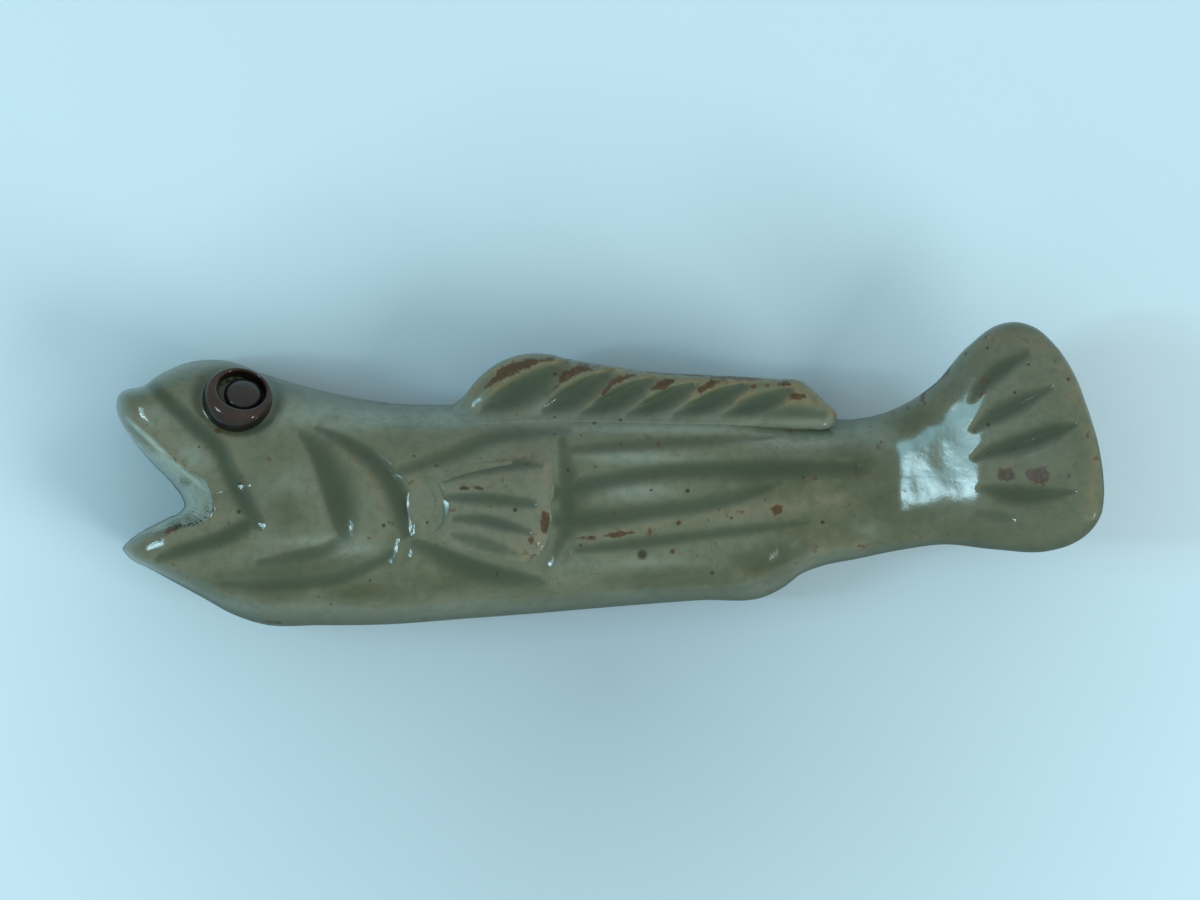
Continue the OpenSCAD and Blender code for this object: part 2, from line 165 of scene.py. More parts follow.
def flowing(x, xs, ys):
    """A smooth curve through (xs, ys): cubic pieces whose slope at a point follows its neighbours."""
    xs, ys = np.asarray(xs, float), np.asarray(ys, float)
    slope = np.gradient(ys, xs, axis=0)
    i = np.clip(np.searchsorted(xs, x, side="right") - 1, 0, len(xs) - 2)
    step = xs[i + 1] - xs[i]
    t = np.clip((x - xs[i]) / step, 0, 1)
    return (ys[i] * (1 - t) ** 2 * (1 + 2 * t) + ys[i + 1] * t ** 2 * (3 - 2 * t)
            + slope[i] * step * t * (1 - t) ** 2 - slope[i + 1] * step * t ** 2 * (1 - t))


def swell(t, square):
    """A rounded shoulder: 0 at the edge (t = 0), 1 at the spine: (1 - (1 - t)^square)^(1 / square)."""
    return (1 - (1 - np.clip(t, 0, 1)) ** square) ** (1 / square)


def shoulder_rows(square, round_rows, flat_rows):
    """Values of t that lie close together round the shoulder and evenly after it."""
    low = 1 - (1 - np.linspace(0, 0.8, round_rows) ** square) ** (1 / square)
    return np.concatenate([low, np.linspace(low[-1], 1, flat_rows + 1)[1:]])


def step_up(t, end):
    """0 at t = 0, turning smoothly into 1 at t = end."""
    u = np.clip(t / end, 0, 1)
    return u * u * (3 - 2 * u)


def rounded_off(over, width):
    """0 well below over = 0 and over well above it, rounded in between:
    width * log(1 + exp(over / width))."""
    return width * np.log1p(np.exp(np.clip(over / width, -30, 30)))


def smooth_mesh(name, points, faces, marks):
    """A smooth-shaded mesh from points in mm and triangles. The marks say at each point how the
    glaze lies there, and a mark that isn't given is 0."""
    mesh = bpy.data.meshes.new(name)
    mesh.from_pydata(points * mm, [], faces.tolist())
    mesh.polygons.foreach_set("use_smooth", np.ones(len(mesh.polygons), bool))
    for key in glaze_marks:
        values = np.asarray(marks.get(key, np.zeros(len(points))), np.float32)
        mesh.attributes.new(key, "FLOAT", "POINT").data.foreach_set("value", values)
    piece = bpy.data.objects.new(name, mesh)
    scene.collection.objects.link(piece)
    return piece


def bands(table):
    """Triangles between the rows of a table of points, each row a closed ring. Those that have
    the same point twice are left out."""
    a, b = table[:-1], table[1:]
    a2, b2 = np.roll(a, -1, 1), np.roll(b, -1, 1)
    both = np.stack([np.stack([a, b, b2], -1), np.stack([a, b2, a2], -1)]).reshape(-1, 3)
    return both[(both != np.roll(both, 1, 1)).all(1)]


def lump(name, spine, rows, pitch, top, bottom, top_rows, bottom_rows, marks):
    """A closed lump over its outline. Each row names a point of the spine and gives a point of the
    edge; the edge is a smooth closed curve, and a surface point is edge + t (spine - edge), at the
    height that top or bottom gives. Both surfaces share the edge, and each closes on the spine."""
    # Places along the edge, one pitch apart, and the place on the spine that belongs to each.
    edge = np.array([row[1:] for row in rows])
    foot = np.array([spine[row[0]] for row in rows])
    edge = np.vstack([edge[-2:], edge, edge[:3]])
    foot = np.vstack([foot, foot[:1]])
    gap = np.hypot(*np.diff(edge, axis=0).T)
    run = np.concatenate([[0], np.cumsum(gap)])
    hop = np.hypot(*np.diff(foot, axis=0).T)
    counts = np.maximum(1, np.round(np.where(hop > 0, hop * 1.15, gap[2:-2]) / pitch).astype(int))
    s = np.concatenate([np.linspace(run[i + 2], run[i + 3], n, endpoint=False) for i, n in enumerate(counts)])
    rim = np.column_stack([flowing(s, run, column) for column in edge.T])
    base = np.column_stack([np.interp(s, run[2:-2], column) for column in foot.T])
    # Places that meet on the spine become one point.
    centre, weld = np.unique(np.round(base, 4), axis=0, return_inverse=True)
    weld = weld.ravel()
    m = len(s)
    points, levels, sides, faces = [], [], [], []
    for side, steps, height in ((1, top_rows, top), (-1, bottom_rows, bottom)):
        t = np.repeat(steps[:, None], m, 1)
        x = rim[:, 0] + (base[:, 0] - rim[:, 0]) * t
        y = rim[:, 1] + (base[:, 1] - rim[:, 1]) * t
        z = height(x, y, t)
        keep = slice(0 if side > 0 else 1, -1)
        start = sum(len(p) for p in points)
        grid = np.column_stack([x[keep].ravel(), y[keep].ravel(), z[keep].ravel()])
        last = np.zeros(len(centre), int)
        last[weld] = np.arange(m)
        ridge = np.column_stack([x[-1][last], y[-1][last], z[-1][last]])
        points += [grid, ridge]
        levels += [t[keep].ravel(), np.ones(len(centre))]
        sides += [np.full(len(grid) + len(ridge), side)]
        # Rows of points from the edge, which the upper side holds, to the spine.
        inner = start + np.arange(len(grid)).reshape(-1, m)
        shared = [] if side > 0 else [np.arange(m)]
        faces.append(bands(np.vstack([*shared, inner, start + len(grid) + weld]))[:, ::side])
    points = np.vstack(points)
    values = marks(points[:, 0], points[:, 1], np.concatenate(levels), np.concatenate(sides))
    return smooth_mesh(name, points, np.vstack(faces), values)


def along(x, y, points, span):
    """The points within span half widths of a smooth line through rows (x, y, half width): their
    indices, their distance from it, which is positive to the left of its way, and the half width
    there. It is followed in steps of 0.1 mm."""
    points = np.array(points)
    run = np.concatenate([[0], np.cumsum(np.hypot(*np.diff(points[:, :2], axis=0).T))])
    s = np.linspace(0, run[-1], max(12, int(run[-1] / 0.1)))
    path = np.column_stack([flowing(s, run, column) for column in points.T])
    way = np.gradient(path[:, :2], axis=0)
    reach = span * points[:, 2].max()
    low, high = path.min(0) - reach, path.max(0) + reach
    near = np.flatnonzero((x > low[0]) & (x < high[0]) & (y > low[1]) & (y < high[1]))
    dx, dy = x[near, None] - path[:, 0], y[near, None] - path[:, 1]
    best = (dx ** 2 + dy ** 2).argmin(1)
    dx, dy = dx[np.arange(len(near)), best], dy[np.arange(len(near)), best]
    side = way[best, 0] * dy - way[best, 1] * dx
    return near, np.hypot(dx, dy) * np.sign(side), path[best, 2]


def pressed(x, y, strokes):
    """Depth at (x, y) of lines pressed with a round tool, and how much glaze has run together in
    them. A line's half width is 1 + lean times its own to the left of its way and 1 - lean times to
    the right. At d half widths from its middle the depth is (1 - (d / 1.3)^2)^2 of the line's, less
    where the line is narrower, and the glaze is exp(-(d / 0.9)^3) of the line's."""
    deep, glaze = np.zeros_like(x), np.zeros_like(x)
    for depth, pooled, lean, points in strokes:
        near, off, half = along(x, y, points, 1.7 * (1 + abs(lean)))
        force = np.sqrt(half / max(p[2] for p in points))
        d = np.abs(off) / (half * (1 + lean * np.tanh(off / (0.4 * half))))
        deep[near] = np.maximum(deep[near], depth * force * np.clip(1 - (d / 1.3) ** 2, 0, 1) ** 2)
        glaze[near] = np.maximum(glaze[near], pooled * force * np.exp(-(d / 0.9) ** 3))
    return deep, glaze


def carved(x, y, strokes):
    """Depth of pressed lines over a grid of places."""
    return pressed(x.ravel(), y.ravel(), strokes)[0].reshape(x.shape)


def streaked(x, y, streaks):
    """Colour along lines of rows (x, y, half width): the largest of
    weight * exp(-(distance / half width)^2)."""
    found = np.zeros_like(x)
    for weight, points in streaks:
        near, off, half = along(x, y, points, 2.5)
        found[near] = np.maximum(found[near], weight * np.exp(-(off / half) ** 2))
    return found


def blots(x, y, places):
    """Oval blots of rows (x, y, radius along x, radius along y, weight): the largest of
    weight * exp(-(distance in radii)^2)."""
    found = np.zeros_like(x)
    for px, py, rx, ry, weight in places:
        found = np.maximum(found, weight * np.exp(-((x - px) / rx) ** 2 - ((y - py) / ry) ** 2))
    return found


spine = {
    "A3": (-30.5, 4.2), "A2": (-28.8, 3.3), "A1": (-27.2, 2.3), "A0": (-25.3, 0.9), "J": (-23.4, -0.5),
    "T1": (-19.2, -1.3), "T2": (-14.5, -1.9), "T3": (-9.8, -2.2), "T4": (-4.5, -2.2), "T5": (0.8, -1.9),
    "T6": (6.2, -1.7), "T7": (10.8, -1.5), "T8": (14.2, -1.2), "T9": (16.8, -0.9), "T10": (19.5, -0.3),
    "T11": (22.5, 0.5), "T12": (25.2, 1.3), "T13": (28.2, 2.1),
    "B0": (-25.2, -2.1), "B1": (-26.8, -3.3), "B2": (-28.5, -4.2), "B3": (-30.4, -4.9),
}
outline = [
    ("A3", -32.8, 4.8), ("A3", -32.7, 5.2), ("A3", -32.4, 5.5), ("A3", -31.8, 5.7), ("A3", -31.2, 5.8),
    ("A2", -29.8, 6.7), ("A1", -27.8, 7.5), ("A0", -25.7, 7.6), ("J", -23, 6.7), ("T1", -19.2, 5.6),
    ("T2", -14.5, 4.75), ("T3", -9.8, 4.65), ("T4", -4.5, 4.7), ("T5", 0.8, 4.7), ("T6", 6.2, 4.6),
    ("T7", 10.8, 4.3), ("T8", 14.2, 3.8), ("T9", 16.8, 3.7), ("T10", 19.3, 4.4), ("T11", 21.8, 6),
    ("T12", 24, 8.5), ("T13", 26.2, 10), ("T13", 27.1, 10.1), ("T13", 28.2, 9.8), ("T13", 29.6, 8.6),
    ("T13", 30.8, 6.8), ("T13", 31.7, 4.5), ("T13", 32.4, 2.1), ("T13", 32.75, -0.1), ("T13", 32.8, -1.4),
    ("T13", 32.6, -2.7), ("T13", 31.9, -3.8), ("T13", 30.8, -4.6), ("T13", 29.2, -5.1), ("T12", 25.6, -5),
    ("T11", 22.5, -4.7), ("T10", 19.5, -5.1), ("T9", 16.7, -5.7), ("T8", 14.3, -6.2), ("T8", 13, -6.7),
    ("T7", 11.8, -7.6), ("T7", 10.6, -8.2), ("T6", 6.2, -8.45), ("T5", 0.8, -8.85), ("T4", -4.5, -9.3),
    ("T3", -9.8, -9.7), ("T2", -14.5, -10.05), ("T1", -19.2, -10.12), ("J", -23, -10.05),
    ("B0", -25, -9.4), ("B1", -27, -8.3), ("B2", -29, -7.2), ("B3", -30.8, -6.2), ("B3", -31.8, -5.7),
    ("B3", -32.2, -5.3), ("B3", -32.4, -5), ("B3", -32.1, -4.6), ("B3", -31.2, -3.9), ("B2", -30.1, -3.3),
    ("B1", -29.3, -2.9), ("B0", -28.6, -2.6), ("J", -28.3, -2.1), ("A0", -28.5, -1.5), ("A1", -29, -0.8),
    ("A2", -30.4, 0.7), ("A3", -31.8, 2.4), ("A3", -32.5, 3.5), ("A3", -32.8, 4.3),
]
# The open mouth: the part of the outline between the tips of the jaws, with the width of the wall
# that is rolled back from it.
mouth_reach = [0.35, 0.4, 0.55, 0.65, 0.8, 1.2, 2.2, 2.3, 1.8, 1.3, 1, 0.8, 0.5]
mouth = [(x, y, reach) for (_, x, y), reach in zip(outline[-len(mouth_reach):], mouth_reach)]
# How high the roll of the lips is, and how softly it joins the skin.
lip_rise, lip_edge = 5.0, 0.16
# A painted highlight along the crest of the upper lip.
lip_crest_highlight = [
    (-31.9, 3.7, 0.14), (-31.3, 3.2, 0.16), (-29.9, 1.9, 0.17), (-28.6, 0.7, 0.2), (-27.5, -0.3, 0.22),
    (-26.6, -1.1, 0.16),
]
# Underside, crest and squareness of the body along x. The crest rises evenly before the tail.
heights = np.array([
    (-32.9, 1.4, 8.5, 2.6), (-32.2, 1.2, 9.05, 2.8), (-31.2, 0.9, 9.38, 3), (-29.5, 0.3, 9.7, 3),
    (-27.5, -0.2, 10.05, 2.8), (-25, -0.4, 10.35, 2.8), (-22, -0.4, 10.5, 3), (-14, -0.4, 10.4, 3.2),
    (-7, -0.4, 10.2, 3.3), (0, -0.4, 9.95, 3.3), (5, -0.4, 9.65, 3.2), (8.5, -0.4, 9.2, 3.1),
    (10.7, -0.4, 8.7, 2.7), (12.6, -0.3, 8.1, 2.7), (14.8, 0.1, 7.45, 2.7), (16.6, 0.7, 7.08, 2.8),
    (18, 1.3, 7.13, 3.2), (19.2, 1.9, 7.42, 3.8), (20.2, 2.4, 7.82, 4), (21.4, 3.1, 8.31, 4),
    (22.6, 3.8, 8.79, 4), (23.6, 4.5, 9.21, 4), (24.6, 5, 9.65, 4), (25.6, 5.5, 10, 3.8),
    (27, 6.3, 10.45, 3.6), (28.5, 7, 10.97, 3.4), (30, 7.7, 11.5, 3.2), (31.5, 8.4, 12, 2.9),
    (32.9, 9.3, 12.3, 2.6),
])
waist_share, base_square = 0.4, 4.4
# Edge of the back, middle and edge of the belly along x, between head and dip.
flank_rows = np.array([
    (-23, 6.7, -0.6, -10), (-19.2, 5.6, -1.3, -10.1), (-14.5, 4.75, -1.9, -10), (-9.8, 4.65, -2.2, -9.6),
    (-4.5, 4.7, -2.2, -9.2), (0.8, 4.7, -1.9, -8.7), (6.2, 4.6, -1.7, -8.3), (10.8, 4.3, -1.5, -7.9),
    (14.2, 3.8, -1.2, -6.2), (16.8, 3.7, -0.9, -5.7),
])
# Long waves of hand-worked clay: height, turns along x and y in radians to the millimetre, start.
clay_waves = [(0.035, 0.62, 0.9, 0), (0.03, 1.35, -0.7, 1), (0.02, 2.3, 1.9, 2), (0.025, -0.4, 1.1, 0)]
eye_place, eye_squash = np.array([-24.5, 4.97]), 0.8

# Depth, glaze run together, lean and rows (x, y, half width) of each pressed line: lips, cheek and
# gills, jaw, belly, behind the eye, round the side fin, flank, belly corner, tail, and four short
# dents on the lower flank that catch the light.
body_lines = [
    (0.17, 1, 0.1, [(-30.5, 6.1, 0.4), (-29.1, 4.8, 0.6), (-27.4, 3.2, 0.68), (-25.8, 1.7, 0.7),
                    (-25.1, 0.2, 0.6)]),
    (0.3, 1, 0.1, [(-27, 2.8, 0.25), (-25.8, 1.7, 0.62), (-25.1, 0.2, 0.72), (-24.2, -1.5, 0.78),
                   (-23.3, -3.2, 0.62)]),
    (0.17, 1, -0.1, [(-29.8, -5.6, 0.33), (-28.5, -5.1, 0.6), (-27.2, -4.7, 0.62), (-25.7, -4.2, 0.62),
                     (-24.1, -3.4, 0.67), (-23.2, -2.8, 0.47)]),
    (0.3, 0.95, 0.5, [(-20.3, 2.6, 0.4), (-19.4, 1.5, 0.8), (-18.7, -0.2, 1.05), (-18.1, -2.1, 1.05),
                      (-17.6, -3.9, 0.6)]),
    (0.32, 1, -0.15, [(-19.2, 3.1, 0.27), (-17.1, 2.1, 0.6), (-15.3, 0.8, 0.75), (-14.1, -0.8, 0.85),
                      (-13.5, -2.5, 0.85), (-13.3, -3.8, 0.6)]),
    (0.16, 0.8, -0.45, [(-23.1, -5.8, 0.33), (-20.7, -5.3, 0.6), (-18.9, -4.9, 0.6), (-17.6, -4.1, 0.4)]),
    (0.14, 0.45, 0, [(-25.7, -6.7, 0.53), (-23.2, -6.8, 1), (-20.5, -6.3, 1.1), (-17.5, -6, 0.85),
                     (-14.8, -5.2, 0.53)]),
    (0.16, 0.85, 0.2, [(-25.5, -7.3, 0.33), (-23.5, -7.4, 0.5), (-21.2, -7.3, 0.55), (-17.8, -6.9, 0.55),
                       (-15.8, -6.1, 0.5), (-14.3, -5.3, 0.4)]),
    (0.1, 0.8, 0, [(-22.9, 5.9, 0.55), (-21.8, 5.8, 0.42), (-20.3, 5.5, 0.25)]),
    (0.2, 0.7, 0, [(-13.9, 0.2, 0.4), (-11.8, 0.9, 0.55), (-10.3, 1.4, 0.6), (-7.5, 2.5, 0.6), (-5, 2.8, 0.5),
                   (-2.6, 2.9, 0.3)]),
    (0.22, 0.95, -0.4, [(-12.6, -4.5, 0.45), (-10.9, -5.2, 0.75), (-8.9, -6, 0.85), (-6.8, -6.6, 0.8),
                        (-4.6, -7, 0.45)]),
    (0.22, 0.85, 0.35, [(-3.1, 2.3, 0.36), (-2.9, 0.6, 0.6), (-2.8, -1.4, 0.75), (-2.9, -3.4, 0.7),
                        (-3.5, -5.2, 0.36)]),
    (0.13, 0.65, 0, [(-2.8, 1.6, 0.36), (-0.5, 1.8, 0.44), (3.5, 2.1, 0.48), (7.5, 2.3, 0.4),
                     (11, 2.5, 0.16)]),
    (0.2, 0.95, -0.1, [(-3.2, -1.1, 0.7), (-0.5, -0.5, 0.74), (2.6, 0.1, 0.68), (6.6, 0.4, 0.7),
                       (11.3, 0.4, 0.85), (16.4, 0.5, 0.5)]),
    (0.18, 0.9, 0.1, [(-3.2, -3.1, 0.75), (-0.5, -2.9, 0.8), (2.6, -2.5, 0.68), (6.2, -2, 0.62),
                      (9.2, -1.3, 0.5), (11.4, -0.5, 0.3)]),
    (0.11, 0.85, 0, [(-2, -5, 0.33), (0.8, -4.7, 0.45), (4, -4.3, 0.5), (7.2, -3.9, 0.36)]),
    (0.05, 0.8, 0, [(6.2, -4, 0.4), (8.2, -3.8, 0.46), (10.4, -3.5, 0.4), (13.4, -3.2, 0.16)]),
    (0.06, 0.5, 0, [(8.7, -5.7, 0.67), (10.9, -5.7, 1.25), (13, -4.9, 0.8)]),
    (0.08, 0.3, 0, [(-0.5, -7.1, 0.53), (3.5, -6.9, 0.93), (7.5, -6.6, 0.8)]),
    (0.26, 0.9, 0.1, [(24.2, 5, 0.24), (24.6, 5.7, 0.46), (25.2, 6.3, 0.66), (26.2, 7.1, 0.66),
                      (27.7, 8, 0.3)]),
    (0.26, 0.9, 0.1, [(24.3, 3, 0.26), (24.8, 3.4, 0.46), (25.6, 3.9, 0.7), (27.2, 4.7, 0.72),
                      (29.2, 5.7, 0.25)]),
    (0.28, 1, 0.05, [(24.4, 1.1, 0.28), (25, 1.4, 0.48), (25.9, 1.7, 0.66), (27.9, 2.3, 0.8), (29.9, 3, 0.58),
                     (30.8, 3.3, 0.2)]),
    (0.24, 0.9, -0.1, [(24.8, -0.9, 0.28), (25.4, -1, 0.52), (26.2, -1.2, 0.72), (27.9, -1.3, 0.72),
                       (29.6, -1.2, 0.45), (30.8, -1.1, 0.14)]),
    (0.12, 0.5, 0, [(24.6, -2.5, 0.3), (25.6, -2.7, 0.53), (26.8, -2.9, 0.25)]),
    (0.28, 0.25, 0, [(-14.25, -4.2, 0.66), (-14.5, -4.9, 0.75), (-14.75, -5.6, 0.6)]),
    (0.18, 0.25, 0, [(-13.05, -4.3, 0.42), (-13.2, -4.8, 0.5), (-13.35, -5.3, 0.4)]),
    (0.28, 0.3, 0, [(-3.65, -4.4, 0.62), (-3.93, -5.1, 0.75), (-4.2, -5.8, 0.6)]),
    (0.18, 0.2, 0, [(-2.55, -4.7, 0.42), (-2.75, -5.1, 0.5), (-2.95, -5.6, 0.4)]),
]
# Rust: spots and short streaks where iron has burnt through the glaze.
body_rust = [
    (-0.8, 0.5, 0.2, 0.16, 1), (4.7, -3.3, 0.24, 0.24, 1.1), (11.3, -2.4, 0.34, 0.32, 1.3),
    (4.3, -5.1, 0.2, 0.16, 0.9), (5.4, -5.1, 0.2, 0.14, 0.9), (26.4, -0.1, 0.62, 0.42, 1.7),
    (28.4, -0.1, 0.8, 0.5, 1.8), (29.6, 7.6, 0.28, 0.26, 1), (31.6, 2.5, 0.2, 0.36, 1),
    (21, 4.9, 0.2, 0.3, 0.8), (-24.1, -0.1, 0.22, 0.3, 0.9), (-23.7, -0.6, 0.2, 0.2, 0.8),
    (-26.2, -0.1, 0.3, 0.3, 0.6), (-25, -3.3, 0.28, 0.22, 1), (-15.8, -4.2, 0.26, 0.22, 0.8),
    (-14.4, -3.2, 0.22, 0.22, 0.8), (-12.7, -2.7, 0.35, 0.35, 0.7), (-25.8, 2.9, 0.3, 0.22, 0.9),
    (12, -3.9, 0.18, 0.16, 0.8),
]
rust_streaks = [
    (0.85, [(-2.2, -4.3, 0.14), (-1.6, -4.2, 0.22), (-0.9, -4.2, 0.14)]),
    (0.85, [(-0.2, -4.1, 0.1), (0.4, -4.05, 0.2), (1, -3.95, 0.16), (2, -3.8, 0.1)]),
    (0.8, [(-30, -3.9, 0.16), (-28.8, -3.6, 0.2), (-27.6, -3.3, 0.16)]),
    (0.9, [(26.6, -0.3, 0.1), (27.5, -0.35, 0.12), (28.4, -0.35, 0.12)]),
    (0.7, [(21, 5.3, 0.16), (22.6, 6.9, 0.22), (23.8, 8, 0.16)]),
    (0.55, [(-24.4, -9.7, 0.2), (-22.8, -9.95, 0.2), (-21.6, -10, 0.14)]),
]
# Small dark pits, and two patches of painted shade at the foot of the eye's ring.
pits_and_eye_shade = [
    (2.9, -1.05, 0.16, 0.13, 1), (5.3, -1.1, 0.2, 0.17, 1.1), (14.3, -3.2, 0.2, 0.2, 1),
    (6.7, -3.05, 0.16, 0.14, 0.9), (8.2, -2.9, 0.18, 0.14, 0.9), (6.2, 1.5, 0.12, 0.1, 0.7),
    (7.6, 1.5, 0.12, 0.1, 0.7), (-0.6, -6.6, 0.15, 0.13, 0.8), (-12.8, 1.2, 0.16, 0.14, 1),
    (-12.9, -3.5, 0.18, 0.2, 0.9), (-14.2, -3.3, 0.16, 0.16, 0.8), (-7.8, -8.3, 0.18, 0.15, 0.9),
    (-10.2, -7.9, 0.16, 0.14, 0.9), (-7.3, -6.6, 0.1, 0.35, 0.8), (-29.6, -4.35, 0.2, 0.18, 0.9),
    (-21.1, -1.3, 0.18, 0.16, 0.8), (-19.6, -6.8, 0.15, 0.13, 0.7), (-32.3, -4.9, 0.3, 0.2, 0.7),
    (20, 4.4, 0.2, 0.18, 0.8), (28.4, -2.3, 0.18, 0.2, 0.5), (-22.1, 4.9, 0.36, 0.8, 0.6),
    (-24.1, 3.05, 0.85, 0.3, 0.75), (-8.4, 1.05, 0.22, 0.14, 0.9), (-5.9, 2.2, 0.1, 0.1, 0.7),
    (-17, 0.2, 0.12, 0.12, 0.4), (17.6, -2.9, 0.16, 0.14, 0.5),
]
# Tan ridges, where the glaze is thin over a raised line.
tan_streaks = [
    (0.9, [(-32.3, 4.6, 0.7), (-30.4, 3.4, 0.7), (-28.6, 1.4, 0.7), (-27, -0.4, 0.6), (-26, -1.8, 0.5)]),
    (0.75, [(-31.6, -5.2, 0.45), (-29, -4, 0.6), (-26.5, -3.3, 0.5), (-25.2, -2.8, 0.4)]),
    (0.55, [(-28.4, 5.4, 0.4), (-26.6, 3.9, 0.4), (-24.9, 1.6, 0.35), (-24, -0.6, 0.35)]),
    (0.8, [(-17.6, 1.7, 0.3), (-16.2, 0.5, 0.45), (-15.2, -1, 0.5), (-15, -2.6, 0.5), (-15.6, -4.1, 0.4)]),
    (0.7, [(-12.9, -0.3, 0.25), (-12.6, -1.6, 0.35), (-12.7, -2.9, 0.35)]),
    (0.9, [(-2.4, -4.3, 0.3), (1.5, -3.7, 0.36), (6.6, -2.9, 0.4), (11, -2.2, 0.45), (15.4, -1.6, 0.4)]),
    (0.55, [(10, -6.9, 0.45), (12, -6.3, 0.45), (14.2, -5.2, 0.4), (17, -4.6, 0.35)]),
    (0.7, [(20.4, 5.2, 0.55), (22.2, 6.9, 0.6), (24.2, 8.7, 0.9), (26.4, 9.1, 1), (28.6, 8.4, 0.9)]),
    (0.7, [(28.6, 9, 0.55), (30.4, 6.6, 0.55), (31.6, 3.4, 0.55), (32.2, 0.2, 0.5), (31.6, -2.8, 0.45)]),
    (0.6, [(24.6, 0.1, 0.35), (26.6, 0.2, 0.5), (29, 0.2, 0.5), (30.6, 1, 0.4)]),
    (0.8, [(-26.3, 3.2, 0.35), (-25.3, 2.6, 0.5), (-24.2, 2.2, 0.35)]),
]
# Broad places where the glaze turns olive; the long ones along the belly make the body darker
# towards the belly. Pale blots are painted sheen and painted light: reflections on the band below the
# back fin, highlights on the lip ridges, and light over the shade below the end of the back fin.
olive_blots = [
    (12, -0.6, 5.5, 1.6, 1.05), (16.4, 0.3, 3, 1.7, 1.05), (18.4, -2.6, 3.4, 2.6, 0.95),
    (14.2, -3.9, 4.5, 1.8, 0.95), (11.5, -5, 2.4, 0.9, 0.9), (18.6, -4.6, 2.6, 0.9, 1),
    (-21.4, -7.8, 2.8, 1.1, 0.9), (-25.2, -4.4, 1.4, 0.7, 0.6), (10.8, -6.2, 3.4, 1.5, 1.1),
    (20.4, 3.4, 2, 1.6, 0.75), (22.4, 5.6, 1.6, 1.5, 0.4), (29.6, -2.4, 3.6, 2.4, 0.35),
    (31.4, 2, 1.3, 4, 0.45), (24, -4, 6, 1.2, 0.6), (-21.2, -2.3, 1.4, 1.6, 0.75), (-21, -6.6, 4.4, 1, 0.6),
    (-17.5, -2, 1, 2.4, 0.6), (-11, -7, 4.6, 1.2, 0.85), (-3, -8.2, 7, 0.9, 0.55), (5.5, -7.2, 6, 1.2, 0.9),
    (-21.8, 0.9, 1.6, 1.6, 0.45), (-27.5, -7.4, 3.5, 0.9, 0.7), (-2.2, -2.4, 1.4, 2.4, 0.65),
    (-31.4, 4.6, 1.3, 1.1, 0.45), (-16, -7.9, 4.6, 1.1, 1),
]
sheen_blots = [
    (-19.6, 4, 3.4, 0.9, 0.45), (-16.5, 3.6, 3.5, 0.8, 0.5), (13.4, 2.3, 3.8, 0.6, 0.55),
    (-28, 1, 1.5, 0.9, 0.35), (-30.6, 3.8, 1.3, 0.8, 0.3), (-17.7, -4.4, 1.5, 0.5, 0.45),
    (-21, -0.5, 1.2, 1.3, 0.2), (-11, 3.7, 4, 0.8, 0.35), (17.6, 2.6, 2, 0.8, 0.35), (-6, 3.6, 4, 0.4, 0.35),
    (2, 1.1, 4.2, 0.4, 0.4), (1.8, -1.1, 2.6, 0.55, 0.35), (4, 3, 8, 0.35, 0.45), (2.5, -5.9, 3, 0.5, 0.25),
    (-16.6, -5, 1.8, 0.5, 0.35), (-20, -4.4, 2, 0.35, 0.3), (-20, -8.7, 6, 0.35, 0.25),
    (17.2, -3.6, 1, 0.5, 0.3),
]


def body_levels(x):
    """Underside, waist, crest and squareness of the body at x."""
    low, high, square = (flowing(x, heights[:, 0], heights[:, k]) for k in (1, 2, 3))
    return low, low + waist_share * (high - low), high, square


def unevenness(x, y):
    """Soft unevenness of hand-worked clay: the sum of height * sin(a x + b y + start) over the long
    waves, of which 0.6 shows on the body and 0.2 on the tail."""
    waves = sum(height * np.sin(a * x + b * y + start) for height, a, b, start in clay_waves)
    return waves * (0.6 - 0.4 * np.clip((x - 14) / 4, 0, 1))


def from_eye(x, y):
    """Distance from the middle of the eye, foreshortened by its lean."""
    return np.hypot(x - eye_place[0], (y - eye_place[1]) / eye_squash)


def lips(x, y, level):
    """How far a surface of the given level stands above the rolled lips. At a distance of d reaches
    from the open mouth the roll is at the waist + rise * sqrt(1 - (1 - d)^2), and beyond 0.8 it
    climbs 8 mm more per reach. The reach grows from the tips of the jaws to the corner."""
    over = np.full_like(x, -9.0)
    near, off, reach = along(x, y, mouth, 1.5)
    d = np.abs(off) / reach
    roll = lip_rise * np.sqrt(1 - (1 - np.minimum(d, 1)) ** 2) + 8.0 * np.maximum(0, d - 0.8)
    over[near] = level[near] - body_levels(x[near])[1] - roll
    return over


def roundness(x, y):
    """How much rounder the back is than the belly: 0.7 less square between head and dip, smoothly
    from nothing at the crest, whose line is straight between five places."""
    middle = np.interp(x, [-23, -14.5, -4.5, 6.2, 16.8], [-0.6, -1.9, -2.2, -1.7, -0.9])
    return 0.7 * step_up(x + 24, 5) * step_up(y - middle, 2) * (1 - step_up(x - 15, 4))


def flank(x, y):
    """Height of the plain body between head and dip: the crest swelling from the waist, by the share
    of the way across from the nearer edge."""
    _, waist, high, square = body_levels(x)
    back, belly = (flowing(x, flank_rows[:, 0], flank_rows[:, k]) for k in (1, 3))
    middle = np.interp(x, flank_rows[:, 0], flank_rows[:, 2])
    share = np.where(y > middle, (back - y) / (back - middle), (y - belly) / (middle - belly))
    return waist + (high - waist) * swell(share, square - roundness(x, y))


